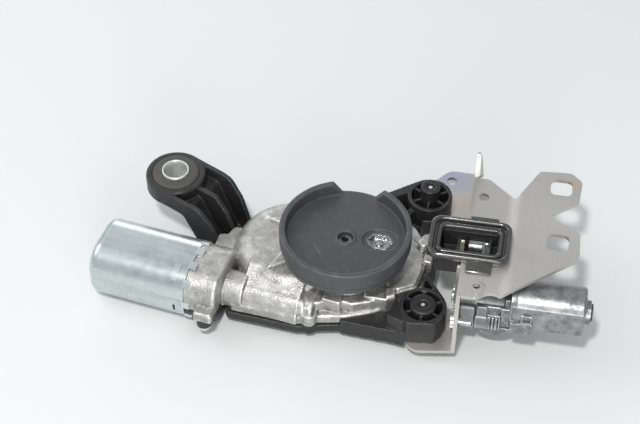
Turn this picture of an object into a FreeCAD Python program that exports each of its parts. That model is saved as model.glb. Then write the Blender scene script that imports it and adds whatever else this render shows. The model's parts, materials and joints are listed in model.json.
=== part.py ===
import FreeCAD, Part
import math
import os
from FreeCAD import Vector

os.makedirs("parts", exist_ok=True)

# Rear wiper drive with window latch, in millimetres.
# The origin is on the output axis, at the underside of the mounting cover.
# X runs along the latch bracket, Y away from the viewer, Z up along the output axis.

# general values
run_gap = 0.05            # radial clearance of a shaft in its bush
part_gap = 0.3            # clearance between moving pieces
sheet = 2.0               # steel sheet of the latch bracket

# gear train
gear_module = 1.0
worm_pitch_r = 4.24
wheel_teeth = 56
wheel_pitch_r = gear_module * wheel_teeth / 2
wheel_face = 9.0
pinion_teeth = 15
output_teeth = 36
train_module = 1.11
pinion_pitch_r = train_module * pinion_teeth / 2
output_pitch_r = train_module * output_teeth / 2
train_face = 4.0
sector_half_angle = 95.0
wheel_angle = 171.87      # direction of the wheel's axis seen from the output axis
wheel_distance = pinion_pitch_r + output_pitch_r
wheel_x = wheel_distance * math.cos(math.radians(wheel_angle))
wheel_y = wheel_distance * math.sin(math.radians(wheel_angle))

# motor, in its own frame: x along the shaft, zero where the worm meets the wheel
motor_angle = -9.0
motor_z = 13.0
worm_distance = wheel_pitch_r + worm_pitch_r
worm_half = 12.0
flange_x = -43.0
yoke_length = 57.0
yoke_width = 39.0
yoke_height = 33.0
yoke_corner = 13.0
yoke_wall = 1.8
yoke_soft = 5.0           # rounding of the can's closed end
yoke_boss_r = 8.6         # bearing boss standing proud of the closed end
yoke_boss_h = 2.6
crimp_w = 4.4             # rim tabs of the can, folded down over the flange
crimp_reach = 3.4
crimp_rise = 0.5
motor_shaft_r = 3.0
core_r = 11.6
bearing_r = 6.35
bearing_seat_r = bearing_r + run_gap
back_x = flange_x - yoke_length
end_wall_x = back_x + yoke_boss_h
bearing_end_x = back_x + 7.5
winding_back = 5.5
winding_front = 4.5
commutator_x = flange_x - 6.5
core_x0 = bearing_end_x + 5.0 + winding_back
core_x1 = commutator_x - 1.0 - winding_front
commutator_r = 6.2
flange_block = 17.0
flange_inset = 0.6        # the casting's flange block is this much smaller than the can
flange_seam_z = 9.5       # the cover wraps higher round the motor flange
foot_x = wheel_x + worm_distance * math.sin(math.radians(motor_angle))
foot_y = wheel_y - worm_distance * math.cos(math.radians(motor_angle))
brush_room_r = 15.2
brush_room_end = flange_x + 14
front_bearing_r = 7.0
front_bearing_x0 = flange_x + 19
front_bearing_x1 = flange_x + 24
worm_room_r = worm_pitch_r + 1.4
thrust_cap_r = 3.2
thrust_end_x = worm_half + 8.4

# gear case
seam_z = 6.0              # top of the cover's rim, bottom of the casting
seal_h = 0.8
case_wall = 3.0
room_wall = case_wall + 0.6
low_tier_z = 11.5         # top of the casting's outer step
shelf_z = 18.0            # top of the casting's low walls
wheel_room_r = wheel_pitch_r + 1.7
dome_wall = 1.9
dome_r = wheel_room_r + dome_wall
dome_z = 25.4
dome_soft = 9.0           # rounding of the dome's top edge
roof_z = 22.7             # underside of the casting's roof over the gears
neck_z = 31.0
cover_floor_z = 2.8
board_z = 3.3
board_t = 1.6
cover_screw_r = 1.9
cover_screw_head_r = 3.1
screw_end_z = 9.0
lug_r = 4.2
plug_x = -10.0
plug_half = 10.0          # half width of the opening for the connector
plug_wall = 3.4
plug_y = 38.8
pin_z = 8.2

# output
shaft_r = 6.0
bush_wall = 2.2
disc_r = 34.5
disc_wall = 3.2
disc_floor_z = 36.0
disc_rim_z = 44.0
disc_band_z = 34.6
disc_skirt_z = 29.4
disc_floor = 3.0
disc_hole_r = 4.0
disc_bolt_r = 2.0
shaft_top = 33.0
spline_r = 5.0
socket_x = 17.7
socket_y = 1.5

# screw bosses, bracket tabs and grommet of the mounting cover
tab_z = 4.5               # top of the bracket's lower tabs
boss_h = 15.5
boss_r = 12.3
boss_wall = 2.2
front_boss = (44.6, -25.2)
front_apex = (42.6, -6.4)
rear_boss = (38.2, 54.0)
front_post_r = 6.75
front_post_h = 1.3
rear_post_r = 5.35
rear_post_h = 6.7
boss_screw_r = 2.5
grommet_x = -99.0
grommet_y = 34.0
eye_top = 33.6
eye_h = 9.6
grommet_r = 12.8
grommet_lip = 1.4
sleeve_r = 7.3
sleeve_bore = 6.5
sleeve_top = 36.0
sleeve_bottom = eye_top - eye_h - 2.6
eye_wall = 3.4
arm_angle = -26.0
arm_wall = 2.6

# latch bracket
deck_z = 42.0
web_x = 61.5
web_bottom_y = -39.5
ear_slot = 11.4
ear_slot_corner = 3.0
ear_slot_x = 108.3
ear_slot_y = 29.0
ear_slot_spacing = 40.0
horn_h = 14.5             # the web's thin horn above the deck
deck_hole = (68.0, 36.1, deck_z, 2.7)
deck_small_hole = (72.1, -27.2, deck_z, 1.9)
rear_tab_hole = (47.9, 82.4, tab_z, 2.85)

# latch frame and latch
frame_x0 = 43.2
frame_x1 = 85.2
frame_y0 = -12.4
frame_y1 = 16.0
frame_top = 46.0
frame_corner = 5.5
opening_x0 = 49.3
opening_x1 = 78.6
opening_y0 = -5.5
opening_y1 = 9.3
latch_plate = 2.0
latch_left_x = 59.4
latch_right_x = 72.0
claw_y = 11.0
claw_z = 20.0
claw_open = 50.0
claw_pin_r = 2.5
striker_slot = 9.4
pawl_y = 3.0
pawl_z = 3.0
pawl_pin_r = 2.0
window_z = 14.0           # bottom of the window in the web beside the latch

# latch actuator
act_y = -19.5
act_z = 25.0
act_can_x0 = 92.0
act_can_x1 = 126.6
act_can_r = 12.6
act_flat = 10.0
act_cover_y = act_y - 6.5
act_clip_y = act_y - act_flat - 1.7
act_wheel_x = 81.0
act_module = 0.5
act_wheel_teeth = 28
act_wheel_pitch_r = act_module * act_wheel_teeth / 2
act_worm_pitch_r = 2.5
act_wheel_z = act_z - act_wheel_pitch_r - act_worm_pitch_r
act_face = 5.0
act_shaft_r = 1.5
act_axle_r = 3.0
act_core_r = 8.0
release_arm = 12.5
release_y = -12.2
release_slope = 19.6
case_left_z = 29.5        # floor of the shallow left part of the latch case
rivet_r = 2.0
latch_rivets_at = [(-8.0, 11.0), (16.8, 9.0)]
act_pin_at = (-27.0, 14.0)


def rounded_wire(corners, z=0.0):
    # closed outline through corners (x, y, radius), each turned by an arc of its radius
    count = len(corners)
    pieces = []
    for i in range(count):
        here = Vector(corners[i][0], corners[i][1], z)
        before = Vector(corners[i - 1][0], corners[i - 1][1], z)
        after = Vector(corners[(i + 1) % count][0], corners[(i + 1) % count][1], z)
        back = (before - here).normalize()
        ahead = (after - here).normalize()
        half = back.getAngle(ahead) / 2
        radius = corners[i][2]
        if radius == 0:
            pieces.append((here, None, here))
            continue
        reach = radius / math.tan(half)
        middle = (back + ahead).normalize()
        crown = here + middle * (radius / math.sin(half) - radius)
        pieces.append((here + back * reach, crown, here + ahead * reach))
    edges = []
    for i in range(count):
        start, crown, end = pieces[i]
        if crown is not None:
            edges.append(Part.Arc(start, crown, end).toShape())
        next_start = pieces[(i + 1) % count][0]
        if (next_start - end).Length > 1e-6:
            edges.append(Part.LineSegment(end, next_start).toShape())
    return Part.Wire(edges)


def slab(corners, z0, z1):
    return Part.Face(rounded_wire(corners, z0)).extrude(Vector(0, 0, z1 - z0))


def cyl(x, y, z0, z1, r):
    return Part.makeCylinder(r, z1 - z0, Vector(x, y, z0))


def cyl_x(x0, x1, y, z, r):
    return Part.makeCylinder(r, x1 - x0, Vector(x0, y, z), Vector(1, 0, 0))


def cyl_y(y0, y1, x, z, r):
    return Part.makeCylinder(r, y1 - y0, Vector(x, y0, z), Vector(0, 1, 0))


def cone(x, y, z0, z1, r0, r1):
    return Part.makeCone(r0, r1, z1 - z0, Vector(x, y, z0))


def box(x0, x1, y0, y1, z0, z1):
    return Part.makeBox(x1 - x0, y1 - y0, z1 - z0, Vector(x0, y0, z0))


def side_plate(corners, x0, x1):
    # outline given as (y, z, radius), standing across X
    flat = slab(corners, 0, x1 - x0)
    turn = FreeCAD.Rotation(Vector(0, 1, 0), Vector(0, 0, 1), Vector(1, 0, 0), "XYZ")
    flat.Placement = FreeCAD.Placement(Vector(x0, 0, 0), turn)
    return flat


def front_plate(corners, y0, y1):
    # outline given as (x, z, radius), standing across Y
    flat = slab(corners, 0, y1 - y0)
    flat.rotate(Vector(0, 0, 0), Vector(1, 0, 0), 90)
    flat.translate(Vector(0, y1, 0))
    return flat


def fuse(shapes):
    whole = shapes[0]
    if len(shapes) > 1:
        whole = whole.fuse(shapes[1:])
    return whole.removeSplitter()


def hexagon(x, y, z, r):
    points = []
    for i in range(7):
        angle = math.pi * i / 3
        points.append(Vector(x + r * math.cos(angle), y + r * math.sin(angle), z))
    return Part.Face(Part.makePolygon(points))


def pear(big, big_r, small, small_r, z0, z1):
    # two upright rounds joined by the flat sides that touch both
    along = math.atan2(small[1] - big[1], small[0] - big[0])
    distance = math.hypot(small[0] - big[0], small[1] - big[1])
    lean = math.acos((big_r - small_r) / distance)
    corners = []
    for centre, r, angle in ((big, big_r, along - lean), (small, small_r, along - lean),
                             (small, small_r, along + lean), (big, big_r, along + lean)):
        corners.append((centre[0] + r * math.cos(angle), centre[1] + r * math.sin(angle), 0))
    rounds = [cyl(big[0], big[1], z0, z1, big_r), cyl(small[0], small[1], z0, z1, small_r)]
    return fuse(rounds + [slab(corners, z0, z1)])


def ring_copies(shape, count, start=0.0, centre=(0, 0), sweep=360.0):
    copies = []
    for i in range(count):
        copy = shape.copy()
        copy.rotate(Vector(centre[0], centre[1], 0), Vector(0, 0, 1), start + i * sweep / count)
        copies.append(copy)
    return copies


def edges_at(shape, z, tolerance=0.01):
    # edges lying wholly in the level plane z
    found = []
    for edge in shape.Edges:
        if abs(edge.BoundBox.ZMin - z) < tolerance and abs(edge.BoundBox.ZMax - z) < tolerance:
            found.append(edge)
    return found


def save(name, shape):
    shape.exportStep("parts/" + name + ".step")


def motor_place(shape):
    # from the motor's own frame to the whole part's frame
    placed = shape.copy()
    placed.rotate(Vector(0, 0, 0), Vector(0, 0, 1), motor_angle)
    placed.translate(Vector(foot_x, foot_y, motor_z))
    return placed


def motor_point(x, y):
    turn = math.radians(motor_angle)
    along = x * math.cos(turn) - y * math.sin(turn)
    across = x * math.sin(turn) + y * math.cos(turn)
    return (foot_x + along, foot_y + across)


# gears

def tooth_outline(teeth, module, slack):
    # one tooth about the X axis: involute flanks as short chords, slack taken off each flank
    pitch_r = module * teeth / 2
    base_r = pitch_r * math.cos(math.radians(20))
    root_r = pitch_r - 1.2 * module
    tip_r = pitch_r + 0.9 * module
    roll = math.sqrt((pitch_r / base_r) ** 2 - 1)
    half = math.pi / (2 * teeth) - slack / pitch_r + roll - math.atan(roll)
    flank = [(root_r, half)]
    steps = 4
    for i in range(steps + 1):
        radius = max(base_r, root_r) + (tip_r - max(base_r, root_r)) * i / steps
        turned = math.sqrt((radius / base_r) ** 2 - 1)
        flank.append((radius, half - (turned - math.atan(turned))))
    return flank


def gear_wire(teeth, module, slack, z, turn=0.0):
    corners = []
    flank = tooth_outline(teeth, module, slack)
    for i in range(teeth):
        middle = 2 * math.pi * i / teeth + turn
        for radius, angle in flank:
            corners.append((radius, middle - angle))
        for radius, angle in reversed(flank):
            corners.append((radius, middle + angle))
    points = [Vector(r * math.cos(a), r * math.sin(a), z) for r, a in corners]
    return Part.makePolygon(points + points[:1])


def spur_gear(teeth, module, slack, z0, z1, turn=0.0):
    return Part.Face(gear_wire(teeth, module, slack, z0, turn)).extrude(Vector(0, 0, z1 - z0))


def worm_wheel_rim(teeth, module, worm_r, face, slack):
    # straight-sided teeth, slanted by the worm's lead angle
    pitch_r = module * teeth / 2
    lead = math.pi * module / (2 * math.pi * worm_r)
    twist = face * lead / pitch_r
    tip_half = module * (math.pi / 4 - math.tan(math.radians(20)) * 0.8) - slack
    root_half = module * (math.pi / 4 + math.tan(math.radians(20)) * 1.0) - slack
    profile = [(pitch_r - module, -root_half), (pitch_r + 0.8 * module, -tip_half)]
    profile += [(pitch_r + 0.8 * module, tip_half), (pitch_r - module, root_half)]
    wires = []
    for z, turn in ((0, -twist / 2), (face, twist / 2)):
        points = []
        for i in range(teeth):
            middle = 2 * math.pi * i / teeth + turn
            for radius, side in profile:
                angle = middle + side / radius
                points.append(Vector(radius * math.cos(angle), radius * math.sin(angle), z))
        wires.append(Part.makePolygon(points + points[:1]))
    return Part.makeLoft(wires, True, True)


def worm_thread(module, pitch_r, half_length, slack, root_depth):
    # one helical thread about the X axis, with a groove centred on x = 0 where it faces +Y
    pitch = math.pi * module
    tip_r = pitch_r + 0.8 * module
    root_r = pitch_r - root_depth * module
    tip_half = module * (math.pi / 4 - math.tan(math.radians(20)) * 0.8) - slack
    root_half = module * (math.pi / 4 + math.tan(math.radians(20)) * root_depth) - slack
    turns = 2 * math.floor(half_length / pitch)
    height = turns * pitch
    helix = Part.makeHelix(pitch, height, root_r - 0.15)
    profile = [Vector(root_r - 0.15, 0, -root_half), Vector(tip_r, 0, -tip_half)]
    profile += [Vector(tip_r, 0, tip_half), Vector(root_r - 0.15, 0, root_half)]
    section = Part.makePolygon(profile + profile[:1])
    thread = Part.Wire(helix.Edges).makePipeShell([section], True, True)
    thread.translate(Vector(0, 0, -height / 2))
    thread.rotate(Vector(0, 0, 0), Vector(0, 1, 0), 90)
    thread.rotate(Vector(0, 0, 0), Vector(1, 0, 0), -90)
    return thread, root_r


# motor

def yoke_section(width, height, corner, x):
    # rounded rectangle standing across the motor's shaft
    half_w = width / 2
    half_h = height / 2
    corners = [(-half_w, -half_h, corner), (half_w, -half_h, corner)]
    corners += [(half_w, half_h, corner), (-half_w, half_h, corner)]
    wire = rounded_wire(corners)
    turn = FreeCAD.Rotation(Vector(0, 1, 0), Vector(0, 0, 1), Vector(1, 0, 0), "XYZ")
    wire.Placement = FreeCAD.Placement(Vector(x, 0, 0), turn)
    return wire


def yoke_block(x0, x1, grow=0.0):
    wire = yoke_section(yoke_width + 2 * grow, yoke_height + 2 * grow, yoke_corner + grow, x0)
    return Part.Face(wire).extrude(Vector(x1 - x0, 0, 0))


def yoke_shell(x0, x1, lift, depth):
    # thin skin that follows the can's outline from lift outside it to depth below that
    skin = yoke_block(x0, x1, lift)
    return skin.cut(yoke_block(x0 - 1, x1 + 1, lift - depth))


def yoke_strip(x0, x1, width, angle):
    # upright strip through the can's skin, turned about the shaft towards the viewer
    strip = box(x0, x1, -width / 2, width / 2, 5, 40)
    strip.rotate(Vector(0, 0, 0), Vector(1, 0, 0), angle)
    return strip


def rounded_can(x0, x1, grow, soft):
    can = yoke_block(x0, x1, grow)
    rim = [e for e in can.Edges if e.BoundBox.XMax < x0 + 0.01]
    return can.makeFillet(soft, rim)


def motor_yoke():
    # drawn can with a soft closed end, a bearing boss, folded rim tabs and a raised pad
    shapes = [rounded_can(end_wall_x, flange_x, 0, yoke_soft)]
    boss = cyl_x(back_x, end_wall_x + yoke_wall, 0, 0, yoke_boss_r)
    shapes.append(boss.makeFillet(0.9, [e for e in boss.Edges if e.BoundBox.XMax < back_x + 0.01]))
    tab_skin = yoke_shell(flange_x - 1, flange_x + crimp_reach, crimp_rise, crimp_rise + flange_inset - 0.02)
    for angle in (-128, -90, -40, -14, 20, 52, 90, 128):
        shapes.append(tab_skin.common(yoke_strip(flange_x - 1, flange_x + crimp_reach, crimp_w, angle)))
    pad_skin = yoke_shell(flange_x - 7.6, flange_x - 4.4, crimp_rise, 1.5)
    shapes.append(pad_skin.common(yoke_strip(flange_x - 7.6, flange_x - 4.4, 9.0, 38)))
    outside = fuse(shapes)
    hollow = rounded_can(end_wall_x + yoke_wall, flange_x + 1, -yoke_wall, yoke_soft - yoke_wall)
    collar = cyl_x(end_wall_x, bearing_end_x, 0, 0, yoke_boss_r - 0.4)
    seat = cyl_x(back_x + 1.2, bearing_end_x + 1, 0, 0, bearing_seat_r)
    notch = box(flange_x - 6.2, flange_x - 4.8, -yoke_width / 2 - 1, -yoke_width / 2 + 3, -6.5, -2.0)
    return outside.cut(hollow).fuse(collar).cut(fuse([seat, notch])).removeSplitter()


def field_magnets():
    x0 = core_x0 - 2
    x1 = core_x1 + 3
    inner = yoke_width / 2 - yoke_wall - 0.02
    arc = cyl_x(x0, x1, 0, 0, inner).cut(cyl_x(x0 - 1, x1 + 1, 0, 0, core_r + 0.8))
    halves = []
    for side in (-1, 1):
        keep = box(x0 - 1, x1 + 1, min(side * 6, side * 30), max(side * 6, side * 30), -8.5, 8.5)
        halves.append(arc.common(keep))
    return Part.makeCompound(halves)


def armature_core():
    core = cyl_x(core_x0, core_x1, 0, 0, core_r)
    core = core.cut(cyl_x(core_x0 - 1, core_x1 + 1, 0, 0, motor_shaft_r))
    slots = []
    slot = fuse([box(core_x0 - 1, core_x1 + 1, -0.8, 0.8, 5, 14),
                 cyl_x(core_x0 - 1, core_x1 + 1, 0, 7.6, 2.1)])
    for i in range(10):
        copy = slot.copy()
        copy.rotate(Vector(0, 0, 0), Vector(1, 0, 0), 36 * i)
        slots.append(copy)
    return core.cut(fuse(slots))


def windings():
    ends = []
    for near, far in ((core_x0 - winding_back, core_x0), (core_x1, core_x1 + winding_front)):
        wound = cyl_x(near, far, 0, 0, 10.2)
        wound = wound.cut(cyl_x(near - 1, far + 1, 0, 0, 4.2))
        ends.append(wound)
    for i in range(10):
        bar = cyl_x(core_x0 - 1, core_x1 + 1, 0, 7.6, 1.9)
        bar.rotate(Vector(0, 0, 0), Vector(1, 0, 0), 36 * i)
        ends.append(bar)
    return fuse(ends)


def commutator():
    x0 = commutator_x
    ring = cyl_x(x0, x0 + 10, 0, 0, commutator_r)
    ring = fuse([ring, cyl_x(x0 - 0.8, x0, 0, 0, commutator_r + 1)])
    ring = ring.cut(cyl_x(x0 - 2, x0 + 12, 0, 0, motor_shaft_r))
    gaps = []
    for i in range(10):
        gap = box(x0 - 2, x0 + 12, -0.25, 0.25, commutator_r - 0.7, commutator_r + 2)
        gap.rotate(Vector(0, 0, 0), Vector(1, 0, 0), 36 * i)
        gaps.append(gap)
    return ring.cut(fuse(gaps))


def armature_shaft():
    thread, root_r = worm_thread(gear_module, worm_pitch_r, worm_half, 0.12, 1.1)
    shaft = cyl_x(back_x + 1.5, -worm_half - 4, 0, 0, motor_shaft_r)
    worm_core = cyl_x(-worm_half - 4, worm_half + 1, 0, 0, root_r)
    tail = cyl_x(worm_half + 1, worm_half + 5, 0, 0, 2.2)
    return fuse([shaft, worm_core, tail, thread])


def rear_bearing():
    bush = cyl_x(back_x + 2, bearing_end_x, 0, 0, bearing_r)
    return bush.cut(cyl_x(back_x, bearing_end_x + 1, 0, 0, motor_shaft_r + run_gap))


def front_bearing():
    outer = cyl_x(front_bearing_x0, front_bearing_x1, 0, 0, front_bearing_r)
    return outer.cut(cyl_x(front_bearing_x0 - 1, front_bearing_x1 + 1, 0, 0, motor_shaft_r + run_gap))


def thrust_cap():
    x0 = worm_half + 5 + 0.1
    return fuse([cyl_x(x0, x0 + 1.2, 0, 0, 2.0), cyl_x(x0 + 1.2, thrust_end_x, 0, 0, thrust_cap_r)])


def brush_holder():
    x0 = flange_x - 4.5
    plate = cyl_x(x0 + 6, x0 + 8, 0, 0, 15)
    plate = plate.cut(cyl_x(x0 + 5, x0 + 9, 0, 0, commutator_r + 1.2))
    shapes = [plate]
    for side in (-1, 1):
        lo = min(side * 7.6, side * 14.5)
        hi = max(side * 7.6, side * 14.5)
        shapes.append(box(x0, x0 + 6.5, -3.4, 3.4, lo, hi))
    holder = fuse(shapes)
    channels = []
    for side in (-1, 1):
        lo = min(side * 7, side * 14)
        hi = max(side * 7, side * 14)
        channels.append(box(x0 + 0.9, x0 + 5.6, -2.3, 2.3, lo, hi))
    return holder.cut(fuse(channels))


def carbon_brushes():
    x0 = flange_x - 4.5
    brushes = []
    for side in (-1, 1):
        lo = min(side * (commutator_r + 0.05), side * 11)
        hi = max(side * (commutator_r + 0.05), side * 11)
        brushes.append(box(x0 + 1.1, x0 + 5.4, -2.1, 2.1, lo, hi))
    return Part.makeCompound(brushes)


# gear train pieces

def worm_wheel():
    rim = worm_wheel_rim(wheel_teeth, gear_module, worm_pitch_r, wheel_face, 0.14)
    rim.rotate(Vector(0, 0, 0), Vector(0, 0, 1), motor_angle - 90)
    rim.translate(Vector(0, 0, motor_z - wheel_face / 2))
    z0 = motor_z - wheel_face / 2
    z1 = motor_z + wheel_face / 2
    pocket = cyl(0, 0, z0 + 5.5, z1 + 1, wheel_pitch_r - 4)
    pocket = pocket.cut(cyl(0, 0, z0, z1 + 2, 10.5))
    ribs = ring_copies(box(9, wheel_pitch_r - 3, -0.9, 0.9, z0 + 5, z1), 8)
    body = rim.cut(pocket).fuse(ribs)
    pinion = spur_gear(pinion_teeth, train_module, 0.16, z1 - 0.5, roof_z - part_gap)
    pinion.rotate(Vector(0, 0, 0), Vector(0, 0, 1), wheel_angle + 180 + 180 / pinion_teeth)
    body = body.fuse(pinion)
    body = body.cut(cyl(0, 0, 0, 40, 4.0 + run_gap)).removeSplitter()
    body.translate(Vector(wheel_x, wheel_y, 0))
    return body


def wheel_axle():
    return fuse([cyl(wheel_x, wheel_y, 3.2, roof_z, 4.0), cyl(wheel_x, wheel_y, 3.2, 6.0, 6.0)])


def output_gear():
    z0 = motor_z + wheel_face / 2 + part_gap
    gear = spur_gear(output_teeth, train_module, 0.16, z0, z0 + train_face)
    gear.rotate(Vector(0, 0, 0), Vector(0, 0, 1), wheel_angle)
    waist = cyl(0, 0, z0, z0 + train_face, 10)
    middle = wheel_angle - 50
    reach = 60
    start = math.radians(middle - sector_half_angle)
    end = math.radians(middle + sector_half_angle)
    fan = [Vector(0, 0, z0)]
    steps = 6
    for i in range(steps + 1):
        turn = start + (end - start) * i / steps
        fan.append(Vector(reach * math.cos(turn), reach * math.sin(turn), z0))
    keep = Part.Face(Part.makePolygon(fan + fan[:1])).extrude(Vector(0, 0, train_face))
    gear = gear.common(keep).fuse(waist)
    for i in range(3):
        turn = math.radians(middle - 55 + 55 * i)
        gear = gear.cut(cyl(14 * math.cos(turn), 14 * math.sin(turn), z0 - 1, z0 + 9, 3.2))
    return gear.cut(cyl(0, 0, z0 - 1, z0 + train_face + 1, shaft_r)).removeSplitter()


def output_shaft():
    # plain in its bush, fluted where the disc is pressed on, tapped for the disc's bolt
    low = motor_z + wheel_face / 2 + part_gap
    shaft = fuse([cyl(0, 0, low, neck_z, shaft_r), cyl(0, 0, neck_z, shaft_top, spline_r)])
    flutes = []
    for i in range(12):
        flute = box(spline_r - 0.5, spline_r + 1, -0.35, 0.35, neck_z, shaft_top + 1)
        flute.rotate(Vector(0, 0, 0), Vector(0, 0, 1), 30 * i)
        flutes.append(flute)
    flutes.append(cyl(0, 0, shaft_top - 7, shaft_top + 1, disc_bolt_r))
    return shaft.cut(fuse(flutes))


def disc_bolt():
    head = cyl(0, 0, shaft_top, shaft_top + 1.6, disc_hole_r - 0.4)
    recess = hexagon(0, 0, shaft_top + 0.5, 1.8).extrude(Vector(0, 0, 2))
    return fuse([head, cyl(0, 0, shaft_top - 6, shaft_top, disc_bolt_r - 0.02)]).cut(recess)


def output_bush():
    bush = cyl(0, 0, roof_z, neck_z, shaft_r + bush_wall)
    return bush.cut(cyl(0, 0, roof_z - 1, neck_z + 1, shaft_r + run_gap))


def thrust_washer():
    z0 = motor_z + wheel_face / 2 + part_gap + train_face + 0.1
    washer = cyl(0, 0, z0, roof_z, 9.5)
    return washer.cut(cyl(0, 0, z0 - 1, roof_z + 1, shaft_r + 0.15))


# driver disc

def socket_corners(length, width):
    # six-sided recess with pointed ends along X
    half = length / 2
    wide = width / 2
    flat = half - wide * 0.62
    corners = [(half, 0, 1.0), (flat, wide, 1.2), (-flat, wide, 1.2)]
    corners += [(-half, 0, 1.0), (-flat, -wide, 1.2), (flat, -wide, 1.2)]
    return [(x + socket_x, y + socket_y, r) for x, y, r in corners]


def lens_corners(length, width):
    half = length / 2
    wide = width / 2
    corners = [(half, -wide, wide * 0.98), (half, wide, wide * 0.98)]
    corners += [(-half, wide, wide * 0.98), (-half, -wide, wide * 0.98)]
    return [(x + socket_x, y + socket_y, r) for x, y, r in corners]


def driver_disc():
    band = cyl(0, 0, disc_band_z, disc_rim_z, disc_r)
    skirt = cyl(0, 0, disc_skirt_z, disc_band_z, disc_r - 1.3)
    disc = fuse([band, skirt])
    inner_r = disc_r - disc_wall
    disc = disc.cut(cyl(0, 0, disc_floor_z, disc_rim_z + 1, inner_r))
    under = cyl(0, 0, disc_skirt_z - 1, disc_floor_z - disc_floor, inner_r - 1.0)
    disc = disc.cut(under)
    gap = [(11, disc_floor_z, 0), (16, disc_rim_z, 0), (18, disc_rim_z + 3, 0)]
    gap += [(-14, disc_rim_z + 3, 0), (-12, disc_rim_z, 0), (-7, disc_floor_z, 0)]
    disc = disc.cut(front_plate(gap, 15, disc_r + 5))
    top = edges_at(disc, disc_rim_z)
    disc = disc.makeFillet(0.8, top)
    shapes = [disc]
    shapes.append(cyl(0, 0, disc_floor_z, disc_floor_z + 0.5, 5.3))
    shapes.append(cyl(0, 0, neck_z + part_gap, disc_floor_z, 9.5))
    shapes.append(slab(lens_corners(20, 16), disc_skirt_z + 2, disc_floor_z))
    rib = box(9, inner_r, -0.8, 0.8, neck_z + 0.6, disc_floor_z - 1)
    shapes += ring_copies(rib, 5, 60, (0, 0), 300)
    disc = fuse(shapes)
    disc = disc.cut(cyl(0, 0, 20, 50, disc_hole_r))
    disc = disc.cut(cyl(0, 0, 20, shaft_top, spline_r))
    disc = disc.cut(slab(lens_corners(18, 14), disc_floor_z - 1.2, disc_floor_z + 1))
    return disc.cut(slab(socket_corners(14.6, 10.6), 20, 50))


def socket_insert():
    z0 = disc_skirt_z + 2
    cup = slab(socket_corners(14.5, 10.5), z0, disc_floor_z - 1.2)
    cup = cup.cut(slab(socket_corners(12.1, 8.1), z0 + 1.2, disc_floor_z))
    return cup.fuse(cyl(socket_x, socket_y, z0, z0 + 2.4, 2.0))


# gear case

def case_corners():
    # outline of the low walls, counter-clockwise from the motor side
    corners = [(-57, -33.8, 3), (-19, -37.4, 3), (-7.5, -34.6, 3), (5, -32.2, 5)]
    corners += [(17, -27.6, 4), (29.5, -20.4, 4), (40.5, -14, 4), (43.2, 1, 5)]
    corners += [(43.2, 18, 5), (34, 33, 8), (15, 37.5, 8), (-8, 38, 6), (-27, 35.8, 5)]
    corners += [(-57, 20, 8), (-60.5, 0, 5)]
    return corners


def shelf_corners():
    # outline of the upper step, set in from the low walls
    corners = [(-50, -28, 0.8), (-18, -31.4, 0.8), (-9.6, -31.5, 1), (-4, -28.9, 2), (2, -27.9, 2)]
    corners += [(8, -29.2, 2), (17.4, -25.6, 2), (28.5, -18.5, 2), (39.5, -12.2, 3), (41.9, 1, 4)]
    corners += [(41.9, 17, 4), (33, 31.5, 7), (14.5, 36, 7), (-8, 36.4, 5), (-26.5, 34.2, 4)]
    return corners + [(-55.5, 19, 6), (-59, 0, 4)]


def grown(corners, grow):
    # same outline, each corner pushed out from its neighbours by the given distance
    count = len(corners)
    result = []
    for i in range(count):
        x, y, radius = corners[i]
        ax, ay = corners[i - 1][0], corners[i - 1][1]
        bx, by = corners[(i + 1) % count][0], corners[(i + 1) % count][1]
        ux, uy = x - ax, y - ay
        vx, vy = bx - x, by - y
        un = math.hypot(ux, uy)
        vn = math.hypot(vx, vy)
        nx = uy / un + vy / vn
        ny = -ux / un - vx / vn
        scale = grow * 2 / (nx * nx + ny * ny)
        result.append((x + nx * scale, y + ny * scale, radius))
    return result


# places of the cover's screws round the low walls, the last one under the motor flange
cover_screws = [(-13.4, -34.0), (45.0, -5.5), (41.3, 27.6), (-44.0, 32.0), (-62.5, 8.5)]
flange_screw = motor_point(flange_x + 12.3, -yoke_width / 2 - 2.1)
plug_pins = [plug_x - 7.0, plug_x - 2.4, plug_x + 2.4, plug_x + 7.0]


def ear_block():
    # lug behind the motor flange
    corners = [(-54, -4, 2), (-54, 6, 2), (-58, 16, 2.4), (-63, 16, 2.4), (-65.4, 10.4, 1.5)]
    corners += [(-70, 9.8, 2), (-71, 0, 2)]
    return slab(corners, seam_z, 16)


def wedge_rib(tip, left, right, top):
    # raised three-cornered rib that runs out of the roof with its tip outwards
    return slab([(tip[0], tip[1], 0), (left[0], left[1], 0), (right[0], right[1], 0)], shelf_z, top)


def worm_body():
    # casting over the worm, in the motor's frame: upright front, crisp ridge, slope up to the roof
    low = seam_z - motor_z
    profile = [(-8.2, low, 0), (14, low, 0), (14, 12.2, 0), (9.4, 12.2, 0), (-4.8, 5.2, 0), (-8.2, -1.5, 0)]
    shapes = [side_plate(profile, -16.5, worm_half + 3)]
    shapes.append(cyl_x(-17, worm_half + 3, 0, 0, worm_room_r + 1.4))
    shapes.append(cyl_x(-30, -15, 0, 0, front_bearing_r + 2.2))
    end = [(-6.6, low, 0), (12, low, 0), (12, 7, 0), (-0.5, 5.4, 0), (-4.4, 3.8, 0), (-6.6, -1.5, 0)]
    end = side_plate(end, worm_half + 2, thrust_end_x + 1.8)
    shapes.append(end.makeChamfer(0.7, [e for e in end.Edges if e.BoundBox.XMin > thrust_end_x + 1.7]))
    shapes.append(box(flange_x + 2, -16, -8.2, 12, low, -2.0))
    return fuse(shapes)


def flange_body():
    # end block that the motor's can is clamped to, in the motor's own frame
    block = yoke_block(flange_x, flange_x + flange_block, -flange_inset)
    far = [e for e in block.Edges if e.BoundBox.XMin > flange_x + flange_block - 0.1]
    return block.makeFillet(1.5, far)


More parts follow.
